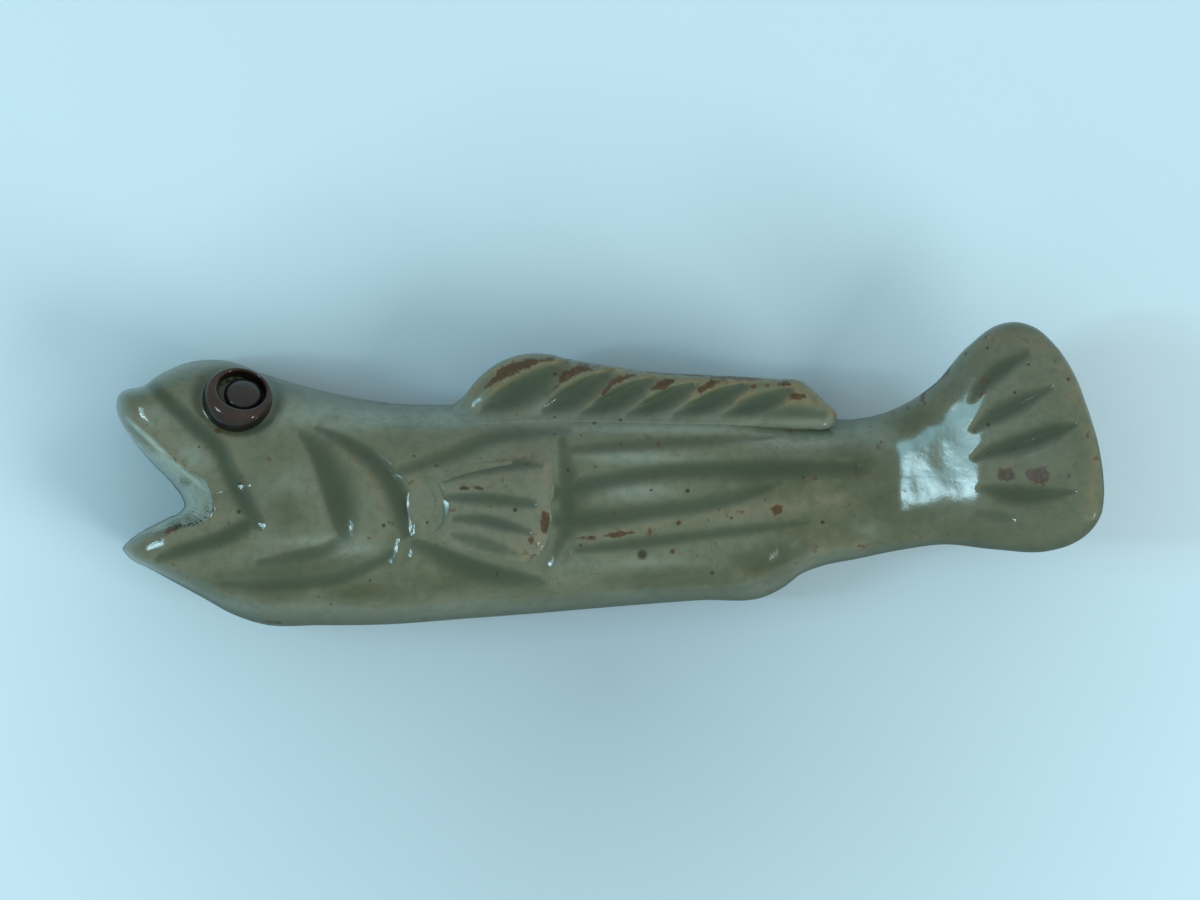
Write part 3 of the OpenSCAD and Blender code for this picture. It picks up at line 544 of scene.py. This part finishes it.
def body_top(x, y, t):
    """The crest swells up from the waist. Towards the tips of the jaws, from x = -26 on, the upper
    one sinks by 0.05 and the lower one by 0.25 of that. The lips are rolled back from the mouth,
    the lines are pressed in, and a dimple 0.3 mm deep runs round the eye."""
    _, waist, high, square = body_levels(x)
    sink = np.clip((-26 - x) / 6.5, 0, 1) ** 4
    jaw = 1 - (0.05 + 0.20 * np.clip((-1.6 - y) / 1.5, 0, 1)) * sink
    z = waist + (high - waist) * jaw * swell(t, square - roundness(x, y))
    z -= rounded_off(lips(x.ravel(), y.ravel(), z.ravel()).reshape(x.shape), lip_edge)
    dimple = 0.3 * np.exp(-((from_eye(x, y) - 2.6) / 0.45) ** 2)
    off_the_edge = np.clip(t / 0.05, 0, 1)
    return z + off_the_edge * (unevenness(x, y) - carved(x, y, body_lines) - dimple)


def body_bottom(x, y, t):
    """The underside rounds in from the waist and is wiped flat on the table."""
    low, waist = body_levels(x)[:2]
    return np.maximum(0, waist - (waist - low) * swell(t, base_square))


def body_marks(x, y, t, side):
    """pool: thick green glaze in the lines; edge: thin tan glaze on ridges and rims; rust: burnt
    places; pit: small dark pits, and painted shade in the hollow of the eye and at the foot of its
    ring; olive: broad olive glaze, which also darkens the body towards the belly; pale: pale glaze in
    the mouth, partly painted reflection, and painted sheen and highlights; bare: wiped clay; rim:
    dull thin glaze along the outline, darkened as painted shade."""
    glaze = pressed(x, y, body_lines)[1]
    low, waist, high, square = body_levels(x)
    eye = from_eye(x, y)
    pool = np.maximum(glaze, 0.85 * np.exp(-((eye - 2.55) / 0.45) ** 2))
    rim = np.exp(-((t - 0.03) / 0.05) ** 2)
    # The wall of the mouth gets pale glaze, partly painted reflection.
    wall = np.clip(0.5 + lips(x, y, waist + (high - waist) * swell(t, square)) / 0.3, 0, 1)
    # A painted highlight along the lip's crest.
    crest_highlight = streaked(x, y, [(1.4, lip_crest_highlight)])
    # Painted shade in the hollow inside the eye's ring.
    shaded_eye_hollow = np.clip((1.95 - eye) / 0.25, 0, 1)
    upper = side > 0
    return {
        "pool": np.clip(pool, 0, 1) * upper,
        "edge": np.clip(streaked(x, y, tan_streaks) + 0.5 * rim, 0, 1) * (1 - wall) * upper,
        "rust": np.maximum(blots(x, y, body_rust), streaked(x, y, rust_streaks)) * upper,
        "pit": np.maximum(blots(x, y, pits_and_eye_shade), shaded_eye_hollow) * upper,
        "olive": blots(x, y, olive_blots) * upper,
        "pale": np.maximum(np.maximum(0.7 * wall, crest_highlight), blots(x, y, sheen_blots)) * upper,
        "bare": ((side < 0) & (t > 0.06) & (low < 0.4)).astype(float),
        # rim also darkens the colour as painted shade: wider along the belly, weaker along the back.
        "rim": np.exp(-(t / np.where(y < -3, 0.09, 0.05)) ** 2) * (1 - 0.6 * step_up(y - 1.5, 2.0)),
    }


body_skin = lump("body_skin", spine, outline, 0.17, body_top, body_bottom,
                 shoulder_rows(2.7, 14, 46), shoulder_rows(base_square, 9, 8), body_marks)


def glaze_group():
    """Celadon-grey glaze over iron-bearing clay: colour, roughness and height over the surface.
    It pools green in the lines, turns milky or olive in broad clouds, breaks tan on thin edges and
    rust-brown where the iron burns through, and lets iron specks show. Scales are per metre: clouds
    of 5 mm, torn patches of 1.4 mm, grain of 0.7 mm and flecks of 0.4 mm."""
    thick, greenish, burnt = (0.32, 0.43, 0.37, 1), (0.050, 0.066, 0.026, 1), (0.085, 0.042, 0.009, 1)
    group = bpy.data.node_groups.new("stoneware_glaze", "ShaderNodeTree")
    face = group.interface
    for way, kind, names in (("INPUT", "Vector", ("Place",)),
                             ("INPUT", "Float", ("Pool", "Edge", "Rust", "Pit", "Olive", "Pale")),
                             ("INPUT", "Color", ("Glaze", "Deep", "Milk", "Thin", "Iron", "Speck")),
                             ("OUTPUT", "Color", ("Colour",)),
                             ("OUTPUT", "Float", ("Roughness", "Height"))):
        for name in names:
            face.new_socket(name, in_out=way, socket_type="NodeSocket" + kind)
    given = group.nodes.new("NodeGroupInput").outputs

    def noise(scale, detail, roughness):
        links = {"Vector": given["Place"], "Scale": scale, "Detail": detail, "Roughness": roughness}
        return add(group, "ShaderNodeTexNoise", links).outputs["Fac"]

    def ramp(value, low, high, top=1.0):
        return add(group, "ShaderNodeMapRange", {0: value, 1: low, 2: high, 4: top}).outputs[0]

    def times(first, second, clamp=False):
        return sum_up(group, "MULTIPLY", first, second, clamp=clamp)

    cloud, torn = noise(190, 3, 0.55), noise(700, 4, 0.60)
    grain, fine = noise(1500, 3, 0.6), noise(2600, 3, 0.65)
    # Milky clouds all over, and where it is marked thick pale glaze, also used as painted sheen and
    # highlights, and olive glaze.
    colour = blend(group, ramp(cloud, 0.38, 0.64, 0.6), given["Glaze"], given["Milk"])
    colour = blend(group, times(given["Pale"], 0.9, clamp=True), colour, thick)
    olive = times(given["Olive"], ramp(cloud, 0.20, 0.50), clamp=True)
    colour = blend(group, times(olive, 0.9), colour, greenish)
    # Thin glaze turns tan, and a little of it shows all over. Then comes what has pooled.
    colour = blend(group, ramp(torn, 0.50, 0.72, 0.35), colour, given["Thin"])
    thin = times(given["Edge"], ramp(torn, 0.30, 0.60), clamp=True)
    colour = blend(group, times(thin, 0.85), colour, given["Thin"])
    colour = blend(group, times(given["Pool"], 0.9), colour, given["Deep"])
    colour = blend(group, ramp(grain, 0.45, 0.72, 0.30), colour, given["Deep"])
    # The iron breaks through in torn flecks and round spots, of two browns.
    level = sum_up(group, "MULTIPLY_ADD", fine, 0.45, torn)
    level = sum_up(group, "MULTIPLY_ADD", given["Rust"], 0.30, level)
    broken = ramp(sum_up(group, "MULTIPLY_ADD", given["Edge"], 0.05, level), 0.89, 1.01)
    iron = blend(group, ramp(fine, 0.46, 0.62, 0.75), given["Iron"], burnt)
    colour = blend(group, times(broken, 0.9), colour, iron)
    # Iron specks: the pits, a few large ones and many small ones. A cell of the pattern has a speck
    # where its chance is above share, and a larger one the further it is above.
    speckled = ramp(sum_up(group, "MULTIPLY_ADD", torn, 0.5, given["Pit"]), 0.72, 1.0)
    for scale, share, size in ((430.0, 0.90, 2.2), (1150.0, 0.84, 1.5)):
        cell = add(group, "ShaderNodeTexVoronoi", {"Vector": given["Place"], "Scale": scale})
        chance = add(group, "ShaderNodeSeparateColor", {0: cell.outputs["Color"]}).outputs[0]
        reach = times(sum_up(group, "SUBTRACT", chance, share), size)
        inside = times(sum_up(group, "SUBTRACT", reach, cell.outputs["Distance"]), 9.0, clamp=True)
        speckled = sum_up(group, "MAXIMUM", speckled, inside)
    colour = blend(group, times(speckled, 0.90), colour, given["Speck"])
    # Glossy, duller where the iron shows, and faintly wavy.
    rough = sum_up(group, "MULTIPLY_ADD", grain, 0.10, 0.08)
    rough = sum_up(group, "MULTIPLY_ADD", broken, 0.16, rough)
    height = sum_up(group, "MULTIPLY_ADD", cloud, 0.8, times(grain, 0.14))
    height = sum_up(group, "MULTIPLY_ADD", speckled, -0.10, height)
    add(group, "NodeGroupOutput", {"Colour": colour, "Roughness": rough, "Height": height})
    return group


stoneware_glaze = glaze_group()


def glazed(name, glaze, deep, milk, thin,
           iron=(0.036, 0.017, 0.004), speck=(0.018, 0.018, 0.009), bare=None):
    """A glossy glaze of the given colours; bare is the colour of the wiped clay underneath."""
    material, tree, surface = new_material(name)
    skin = add(tree, "ShaderNodeGroup", node_tree=stoneware_glaze)
    tree.links.new(add(tree, "ShaderNodeTexCoord").outputs["Object"], skin.inputs["Place"])
    marks = {key: add(tree, "ShaderNodeAttribute", attribute_name=key).outputs["Fac"] for key in glaze_marks}
    for key in ("pool", "edge", "rust", "pit", "olive", "pale"):
        tree.links.new(marks[key], skin.inputs[key.title()])
    colours = {"Glaze": glaze, "Deep": deep, "Milk": milk, "Thin": thin, "Iron": iron, "Speck": speck}
    for key, value in colours.items():
        skin.inputs[key].default_value = (*value, 1)
    # Round the outline the glaze has run thin and dull, and its colour is darkened towards the deep green
    # there as painted contact shade.
    colour = blend(tree, sum_up(tree, "MULTIPLY", marks["rim"], 0.75), skin.outputs["Colour"], (*deep, 1))
    rough = sum_up(tree, "MULTIPLY_ADD", marks["rim"], 0.5, skin.outputs["Roughness"])
    if bare:
        colour = blend(tree, marks["bare"], colour, (*bare, 1))
        rough = sum_up(tree, "MAXIMUM", rough, sum_up(tree, "MULTIPLY", marks["bare"], 0.85))
    tree.links.new(colour, surface.inputs["Base Color"])
    tree.links.new(rough, surface.inputs["Roughness"])
    surface.inputs["IOR"].default_value = 1.5
    relief = {"Height": skin.outputs["Height"], "Strength": 0.5, "Distance": 0.0001}
    tree.links.new(add(tree, "ShaderNodeBump", relief).outputs[0], surface.inputs["Normal"])
    return material


body_glaze = glazed("body_glaze", glaze=(0.112, 0.138, 0.084), deep=(0.026, 0.050, 0.025),
                    milk=(0.142, 0.178, 0.130), thin=(0.158, 0.156, 0.094), bare=(0.42, 0.33, 0.25))
body_skin.data.materials.append(body_glaze)
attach(body_skin, "root")
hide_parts("body")


# BACK FIN
# A flat strip of the same clay luted along the back, its edge pinched thin so that the iron burns
# through, with slanting hollows pressed between its rays.
fin_spine = {
    "D0": (-7.6, 5.2), "D1": (-5.8, 5.6), "D2": (-4, 5.7), "D3": (-2.4, 5.6), "D4": (0.2, 5.3),
    "D5": (3.1, 5.1), "D6": (6.7, 5), "D7": (11.2, 4.8), "D8": (13.2, 4.5),
}
fin_outline = [
    ("D0", -9.8, 3.3), ("D0", -10.6, 3.9), ("D0", -10.3, 4.6), ("D0", -9.6, 5.2), ("D0", -8.6, 6.4),
    ("D0", -7.3, 7.4), ("D1", -5.8, 7.95), ("D2", -4, 8), ("D3", -2.5, 7.65), ("D4", 0.2, 7.2),
    ("D5", 3.1, 6.8), ("D6", 6.7, 6.6), ("D7", 11.2, 6.35), ("D8", 13, 6.15), ("D8", 13.7, 5.6),
    ("D8", 14.5, 4.8), ("D8", 15.3, 3.9), ("D8", 15, 3.2), ("D8", 13.2, 2.95), ("D7", 11.2, 3),
    ("D6", 6.7, 3.1), ("D5", 3.1, 3.15), ("D4", 0.2, 3.2), ("D3", -2.5, 3.2), ("D2", -4, 3.2),
    ("D1", -5.8, 3.15), ("D0", -7.8, 3.1),
]
# Level of its middle, half its thickness, and how softly it joins the back.
fin_middle, fin_half, fin_root = 5.6, 2.3, 0.38
fin_square, fin_square_under = 3.4, 2.4
# Share of the half thickness along x.
fin_rows = np.array([
    (-10.6, 0.35), (-9.4, 0.7), (-6.5, 1), (0, 0.98), (8, 0.88), (12.5, 0.7), (14, 0.52), (15.3, 0.3),
])
# Depth, glaze run together, lean and rows of each hollow, and of the line along the root.
fin_lines = [
    (0.5, 1, -0.35, [(-8, 4.4, 0.7), (-6.6, 5.2, 1.15), (-5, 6.2, 1.1), (-3.1, 7.3, 0.5)]),
    (0.5, 1, -0.35, [(-4.1, 4.2, 0.6), (-2.9, 5, 0.95), (-1.4, 5.9, 0.9), (0.1, 6.8, 0.4)]),
    (0.46, 1, -0.35, [(-1.5, 4, 0.55), (-0.2, 4.7, 0.88), (1.3, 5.5, 0.85), (2.8, 6.3, 0.36)]),
    (0.44, 1, -0.35, [(1.5, 3.9, 0.55), (2.9, 4.6, 0.8), (4.2, 5.3, 0.76), (5.6, 5.9, 0.33)]),
    (0.42, 1, -0.35, [(4.6, 3.9, 0.55), (6, 4.5, 0.8), (7.4, 5.2, 0.76), (9, 5.9, 0.33)]),
    (0.4, 1, -0.35, [(7.9, 3.8, 0.6), (9.3, 4.5, 0.9), (10.6, 5, 0.8), (12, 5.6, 0.33)]),
    (0.16, 0.8, 0, [(10.6, 3.8, 0.53), (12.4, 4, 0.66), (14.4, 3.9, 0.4)]),
]
# Rust along the outer edge and at the top of the ridges between the hollows.
fin_streaks = [
    (1, [(-8.3, 5.5, 0.16), (-7.6, 6.2, 0.26), (-6.4, 6.9, 0.32), (-4.9, 7.5, 0.28), (-3.6, 7.7, 0.16)]),
    (1.05, [(-4.1, 5.2, 0.12), (-3.4, 5.8, 0.18), (-2.6, 6.6, 0.36), (-1.5, 7, 0.38), (-0.6, 7.1, 0.2)]),
    (1, [(-0.3, 5.3, 0.1), (0.3, 6, 0.26), (1.1, 6.4, 0.28), (1.8, 6.6, 0.12)]),
    (1, [(3.1, 5.6, 0.2), (3.8, 6, 0.28), (4.4, 6.2, 0.16)]),
    (0.95, [(6.2, 5.6, 0.2), (6.9, 6, 0.24)]),
    (0.85, [(9.6, 5.8, 0.16), (10.7, 5.9, 0.18)]),
    (0.9, [(11.4, 6, 0.16), (12, 6, 0.18)]),
    (1, [(12.3, 5.2, 0.18), (13.1, 5.2, 0.22)]),
    (0.75, [(2.6, 6.75, 0.1), (5, 6.6, 0.12), (7.5, 6.45, 0.12), (10.4, 6.3, 0.1)]),
]


def fin_thickness(x):
    """Half thickness of the back fin along x."""
    return fin_half * flowing(x, fin_rows[:, 0], fin_rows[:, 1])


def fin_top(x, y, t):
    """A rounded ridge with the hollows pressed between its rays; they fade towards the root, within
    1.2 mm of the line y = 3.7 - 0.02 x. Towards the body its skin runs up on the back in a smooth
    hollow, and its own edge lies under the skin of the back."""
    z = fin_middle + fin_thickness(x) * swell(t, fin_square)
    z += 0.5 * np.clip(t / 0.10, 0, 1) * unevenness(3 * x, 2 * y)
    z -= carved(x, y, fin_lines) * step_up(y - 3.7 + 0.02 * x, 1.2)
    back = flank(x, y) + 0.03 - 0.8 * np.clip(1 - t / 0.15, 0, 1) ** 2
    return z + rounded_off(back - z, fin_root) * (y < 4.9)


def fin_bottom(x, y, t):
    """The same ridge, plain, towards the table."""
    return fin_middle - fin_thickness(x) * swell(t, fin_square_under)


def fin_marks(x, y, t, side):
    """As on the body, with thin glaze along the outer edge and on the ridges."""
    glaze = pressed(x, y, fin_lines)[1]
    outer = np.clip((y - 4.4 + 0.05 * x) / 0.8, 0, 1)
    rim = np.clip(1.35 - t / 0.28, 0, 1) * outer
    upper = side > 0
    return {
        "pool": np.clip(glaze * (1 - 0.8 * rim), 0, 1) * upper * step_up(y - 3.3 + 0.02 * x, 1.0),
        "edge": np.clip(rim + 0.5 * outer * (1 - glaze), 0, 1),
        "rust": streaked(x, y, fin_streaks) * upper,
        "pale": 0.2 * np.clip(1 - outer, 0, 1) * upper,
        # rim dulls the fin's outline and darkens it as painted shade.
        "rim": 0.4 * np.exp(-(t / 0.07) ** 2),
    }


back_fin = lump("back_fin", fin_spine, fin_outline, 0.12, fin_top, fin_bottom,
                shoulder_rows(fin_square, 12, 26), shoulder_rows(fin_square_under, 8, 8), fin_marks)
fin_glaze = glazed("back_fin_glaze", glaze=(0.098, 0.126, 0.078), deep=(0.026, 0.052, 0.027),
                   milk=(0.125, 0.158, 0.112), thin=(0.215, 0.180, 0.085))
back_fin.data.materials.append(fin_glaze)
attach(back_fin, "root")
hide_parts("dorsal_fin")


# SIDE FIN
# A leaf of clay laid on the flank behind the gill, its rim pressed down and its rays drawn with the
# tip of the tool.
side_spine = {"P0": (-11.4, -1.7), "P1": (-9.2, -1.8), "P2": (-7.6, -1.8), "P3": (-6, -1.8)}
side_outline = [
    ("P0", -13.3, -1.8), ("P0", -13, -0.6), ("P0", -12.1, 0.2), ("P0", -10.9, 0.65), ("P1", -9.3, 1.1),
    ("P2", -7.6, 1.5), ("P3", -5.9, 1.85), ("P3", -4.6, 2), ("P3", -3.8, 1.6), ("P3", -3.55, 0.1),
    ("P3", -3.6, -1.9), ("P3", -3.8, -3.6), ("P3", -4.4, -5.2), ("P3", -5.2, -6), ("P3", -6.4, -5.95),
    ("P2", -7.8, -5.65), ("P1", -9.4, -5.25), ("P0", -10.9, -4.8), ("P0", -11.9, -4.35), ("P0", -12.9, -3.3),
]
side_lines = [
    (0.16, 0.85, 0, [(-10.8, -0.4, 0.22), (-9.6, 0.1, 0.38), (-7.4, 0.5, 0.44), (-5.6, 0.7, 0.42),
                     (-4.4, 0.6, 0.2)]),
    (0.18, 0.9, -0.15, [(-10.8, -1.5, 0.25), (-9.4, -1.5, 0.42), (-7.4, -1.6, 0.5), (-5, -1.9, 0.36)]),
    (0.18, 0.9, -0.1, [(-10.1, -2.9, 0.25), (-8.8, -2.9, 0.45), (-7.2, -3.2, 0.5), (-5.2, -3.8, 0.25)]),
    (0.12, 0.7, 0, [(-10.2, -4, 0.25), (-8.8, -4.4, 0.5), (-7.2, -4.9, 0.5), (-6.2, -5.2, 0.25)]),
    (0.15, 0.85, 0.2, [(-12, -0.4, 0.22), (-11.3, -1.1, 0.4), (-11.1, -1.9, 0.48), (-11.3, -3, 0.48),
                       (-12, -3.8, 0.25)]),
]
side_streaks = [
    (1.1, [(-4.1, -2.7, 0.22), (-4.1, -3.2, 0.32), (-4.2, -3.7, 0.26)]),
    (0.8, [(-11.3, -4.5, 0.14), (-10.4, -4.8, 0.18), (-9.4, -5.1, 0.14)]),
    (0.9, [(-9.7, -0.95, 0.14), (-9.3, -0.95, 0.16)]),
    (0.9, [(-8.7, -0.9, 0.14), (-8.3, -0.95, 0.16)]),
    (0.9, [(-10.3, -2.4, 0.22), (-10.1, -2.4, 0.22)]),
    (0.75, [(-5, -4.4, 0.25), (-4.6, -5, 0.25), (-5, -5.6, 0.2)]),
]
side_pits = [(-6.7, -0.8, 0.14, 0.12, 0.8), (-11.9, -3.2, 0.2, 0.2, 0.8)]
side_rise, side_sunk, side_thick = 0.42, 0.08, 1.1


def side_top(x, y, t):
    """The leaf rises gently out of the flank at its root and its upper edge, and in a step at its
    lower edge and at its tail end. It is thinnest at the root, x = -12.8, and has its whole rise
    6 mm further on. Its rim sinks into the flank."""
    sharp = np.clip(np.maximum((x + 6.5) / 2, (-3.2 - y) / 1.2), 0, 1)
    rise = side_rise * (0.05 + 0.95 * step_up(x + 12.8, 6))
    leaf = rise * step_up(t, 0.75 - 0.45 * sharp) - side_sunk * (1 - step_up(t, 0.12))
    return flank(x, y) + unevenness(x, y) + leaf - np.clip(t / 0.12, 0, 1) * carved(x, y, side_lines)


def side_bottom(x, y, t):
    """The seat lies below the skin of the flank."""
    return flank(x, y) + unevenness(x, y) - side_sunk - side_thick * swell(t * 3, 2)


def side_marks(x, y, t, side):
    """As on the body, with thin glaze round the rim and on the ridges."""
    glaze = pressed(x, y, side_lines)[1]
    rim = np.exp(-((t - 0.24) / 0.14) ** 2)
    upper = side > 0
    return {
        "pool": np.clip(glaze, 0, 1) * upper,
        "edge": np.clip(0.6 * rim * (x > -10) + 0.35 * (1 - glaze), 0, 1) * upper,
        "rust": streaked(x, y, side_streaks) * upper,
        "pit": blots(x, y, side_pits) * upper,
    }


side_fin = lump("side_fin", side_spine, side_outline, 0.12, side_top, side_bottom,
                shoulder_rows(2.6, 10, 32), shoulder_rows(2, 5, 6), side_marks)
side_glaze = glazed("side_fin_glaze", glaze=(0.118, 0.146, 0.095), deep=(0.030, 0.056, 0.031),
                    milk=(0.146, 0.184, 0.138), thin=(0.165, 0.162, 0.098))
side_fin.data.materials.append(side_glaze)
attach(side_fin, "root")
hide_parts("pectoral_fin")


# EYE RING
# A coil of clay pressed on as a ring, leaning towards the back, with a hollow inside it. The glaze
# is thin over it and the iron turns it brown.
ring_low, ring_high = (np.array(v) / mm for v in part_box("eye_ring"))
ring_radius, ring_level = 2.30, 1.10
hole, hole_radius = np.array([0.16, 0.46]), 1.50
eye_lean, eye_turn = np.radians(38), np.radians(15)
eye_axis = np.array([
    np.sin(eye_lean) * np.sin(eye_turn), np.sin(eye_lean) * np.cos(eye_turn), np.cos(eye_lean)])
eye_right = np.array([np.cos(eye_turn), -np.sin(eye_turn), 0])
eye_up = np.cross(eye_axis, eye_right)
eye_seat = (ring_low + ring_high) / 2 - eye_axis * ring_level


def in_eye(across, up, rise):
    """Points from places across, up and along the eye's axis."""
    return eye_seat + across[..., None] * eye_right + up[..., None] * eye_up + rise[..., None] * eye_axis


# The coil is thick at the lower left and thin at the upper right. At a turn about the axis its hole
# reaches from hole . turn to the circle of radius hole_radius about hole, and its section is an oval
# between the hole and the outer circle.
turn = 2 * np.pi * np.arange(132) / 132
around = np.linspace(0, 2 * np.pi, 48, endpoint=False)
outer = ring_radius * (1 + 0.018 * np.sin(2 * turn + 0.6) + 0.01 * np.sin(3 * turn))
lead = hole[0] * np.cos(turn) + hole[1] * np.sin(turn)
inner = lead + np.sqrt(hole_radius ** 2 - hole @ hole + lead ** 2)
half = (outer - inner) / 2
bulge = np.sign(np.cos(around)) * np.abs(np.cos(around)) ** 0.8
radius = (outer + inner)[None] / 2 + half * bulge[:, None]
rise = ring_level + (0.72 + 0.42 * half) * np.sin(around)[:, None]
points = in_eye(radius * np.cos(turn), radius * np.sin(turn), rise).reshape(-1, 3)
index = np.arange(len(points)).reshape(rise.shape)
faces = bands(np.vstack([index, index[:1]]))[:, ::-1]
height = (points - eye_seat) @ eye_axis
inside = ((outer + inner)[None] / 2 - radius).ravel() / np.tile(half, len(around))
facing = np.tile(np.sin(turn), len(around))
# The glaze is dark low on the coil and in the hole, with painted shade there as well, has a painted
# highlight on the side of the coil towards the back, and is thin on its crest.
low_shade_and_pool = np.clip((1.75 - height) / 0.5, 0, 1) * (facing < 0.3)
hole_shade_and_pool = np.clip((inside - 0.55) / 0.3, 0, 1) * (height < 2.2)
eye_coil = smooth_mesh("eye_coil", points, faces, {
    "pool": low_shade_and_pool + hole_shade_and_pool,
    "pale": 0.6 * np.clip((facing - 0.5) / 0.3, 0, 1) * np.clip((-0.2 - inside) / 0.3, 0, 1),
    "edge": np.clip((height - 1.7) / 0.3, 0, 1)})
ring_glaze = glazed("eye_ring_glaze", glaze=(0.016, 0.009, 0.006), deep=(0.003, 0.003, 0.003),
                    milk=(0.024, 0.013, 0.008), thin=(0.036, 0.018, 0.011),
                    iron=(0.050, 0.020, 0.008), speck=(0.012, 0.009, 0.008))
eye_coil.data.materials.append(ring_glaze)
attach(eye_coil, "root")
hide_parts("eye_ring")


# PUPIL
# A round pellet of clay pressed into the ring, nearer its upper right. The hollow beside it holds the
# darkest glaze, almost blue, and the darkness low on the pellet is partly painted shade.
pupil_radius, pupil_edge, pupil_dome = 1.34, 1.25, 0.75
pupil_middle = hole + (0.15, -0.11)
# The dome from crown to edge, then the wall and the rounded foot under it.
swing = np.linspace(0.02, np.pi / 2, 22)
radius = np.concatenate([pupil_radius * np.sin(swing), [pupil_radius, 1.30, 0.5]])[::-1, None]
rise = np.concatenate([pupil_edge + pupil_dome * np.cos(swing), [0.8, 0.3, 0.25]])[::-1, None]
turn = 2 * np.pi * np.arange(72) / 72
lobe = 1 + 0.02 * np.sin(2 * turn) + 0.01 * np.sin(3 * turn + 1)
across = pupil_middle[0] + radius * lobe * np.cos(turn)
up = pupil_middle[1] + radius * lobe * np.sin(turn)
grid = in_eye(across, up, rise + 0 * turn)
points = np.vstack([grid.reshape(-1, 3), grid[0].mean(0), grid[-1].mean(0)])
index = np.arange(len(points) - 2).reshape(grid.shape[:2])
foot, crown = (np.full_like(index[:1], len(points) - k) for k in (2, 1))
faces = bands(np.vstack([foot, index, crown]))[:, ::-1]
height = (points - eye_seat) @ eye_axis
# Low on the pellet the dark pooled glaze also stands for the shade in the hollow.
pupil = smooth_mesh("pupil", points, faces, {
    "pool": np.clip((1.75 - height) / 0.35, 0, 1), "edge": np.clip((height - 1.9) / 0.2, 0, 1)})
pupil_glaze = glazed("pupil_glaze", glaze=(0.016, 0.012, 0.010), deep=(0.003, 0.006, 0.012),
                     milk=(0.024, 0.019, 0.016), thin=(0.026, 0.020, 0.017),
                     iron=(0.040, 0.018, 0.010), speck=(0.012, 0.009, 0.008))
pupil.data.materials.append(pupil_glaze)
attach(pupil, "root")
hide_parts("eye_pupil")
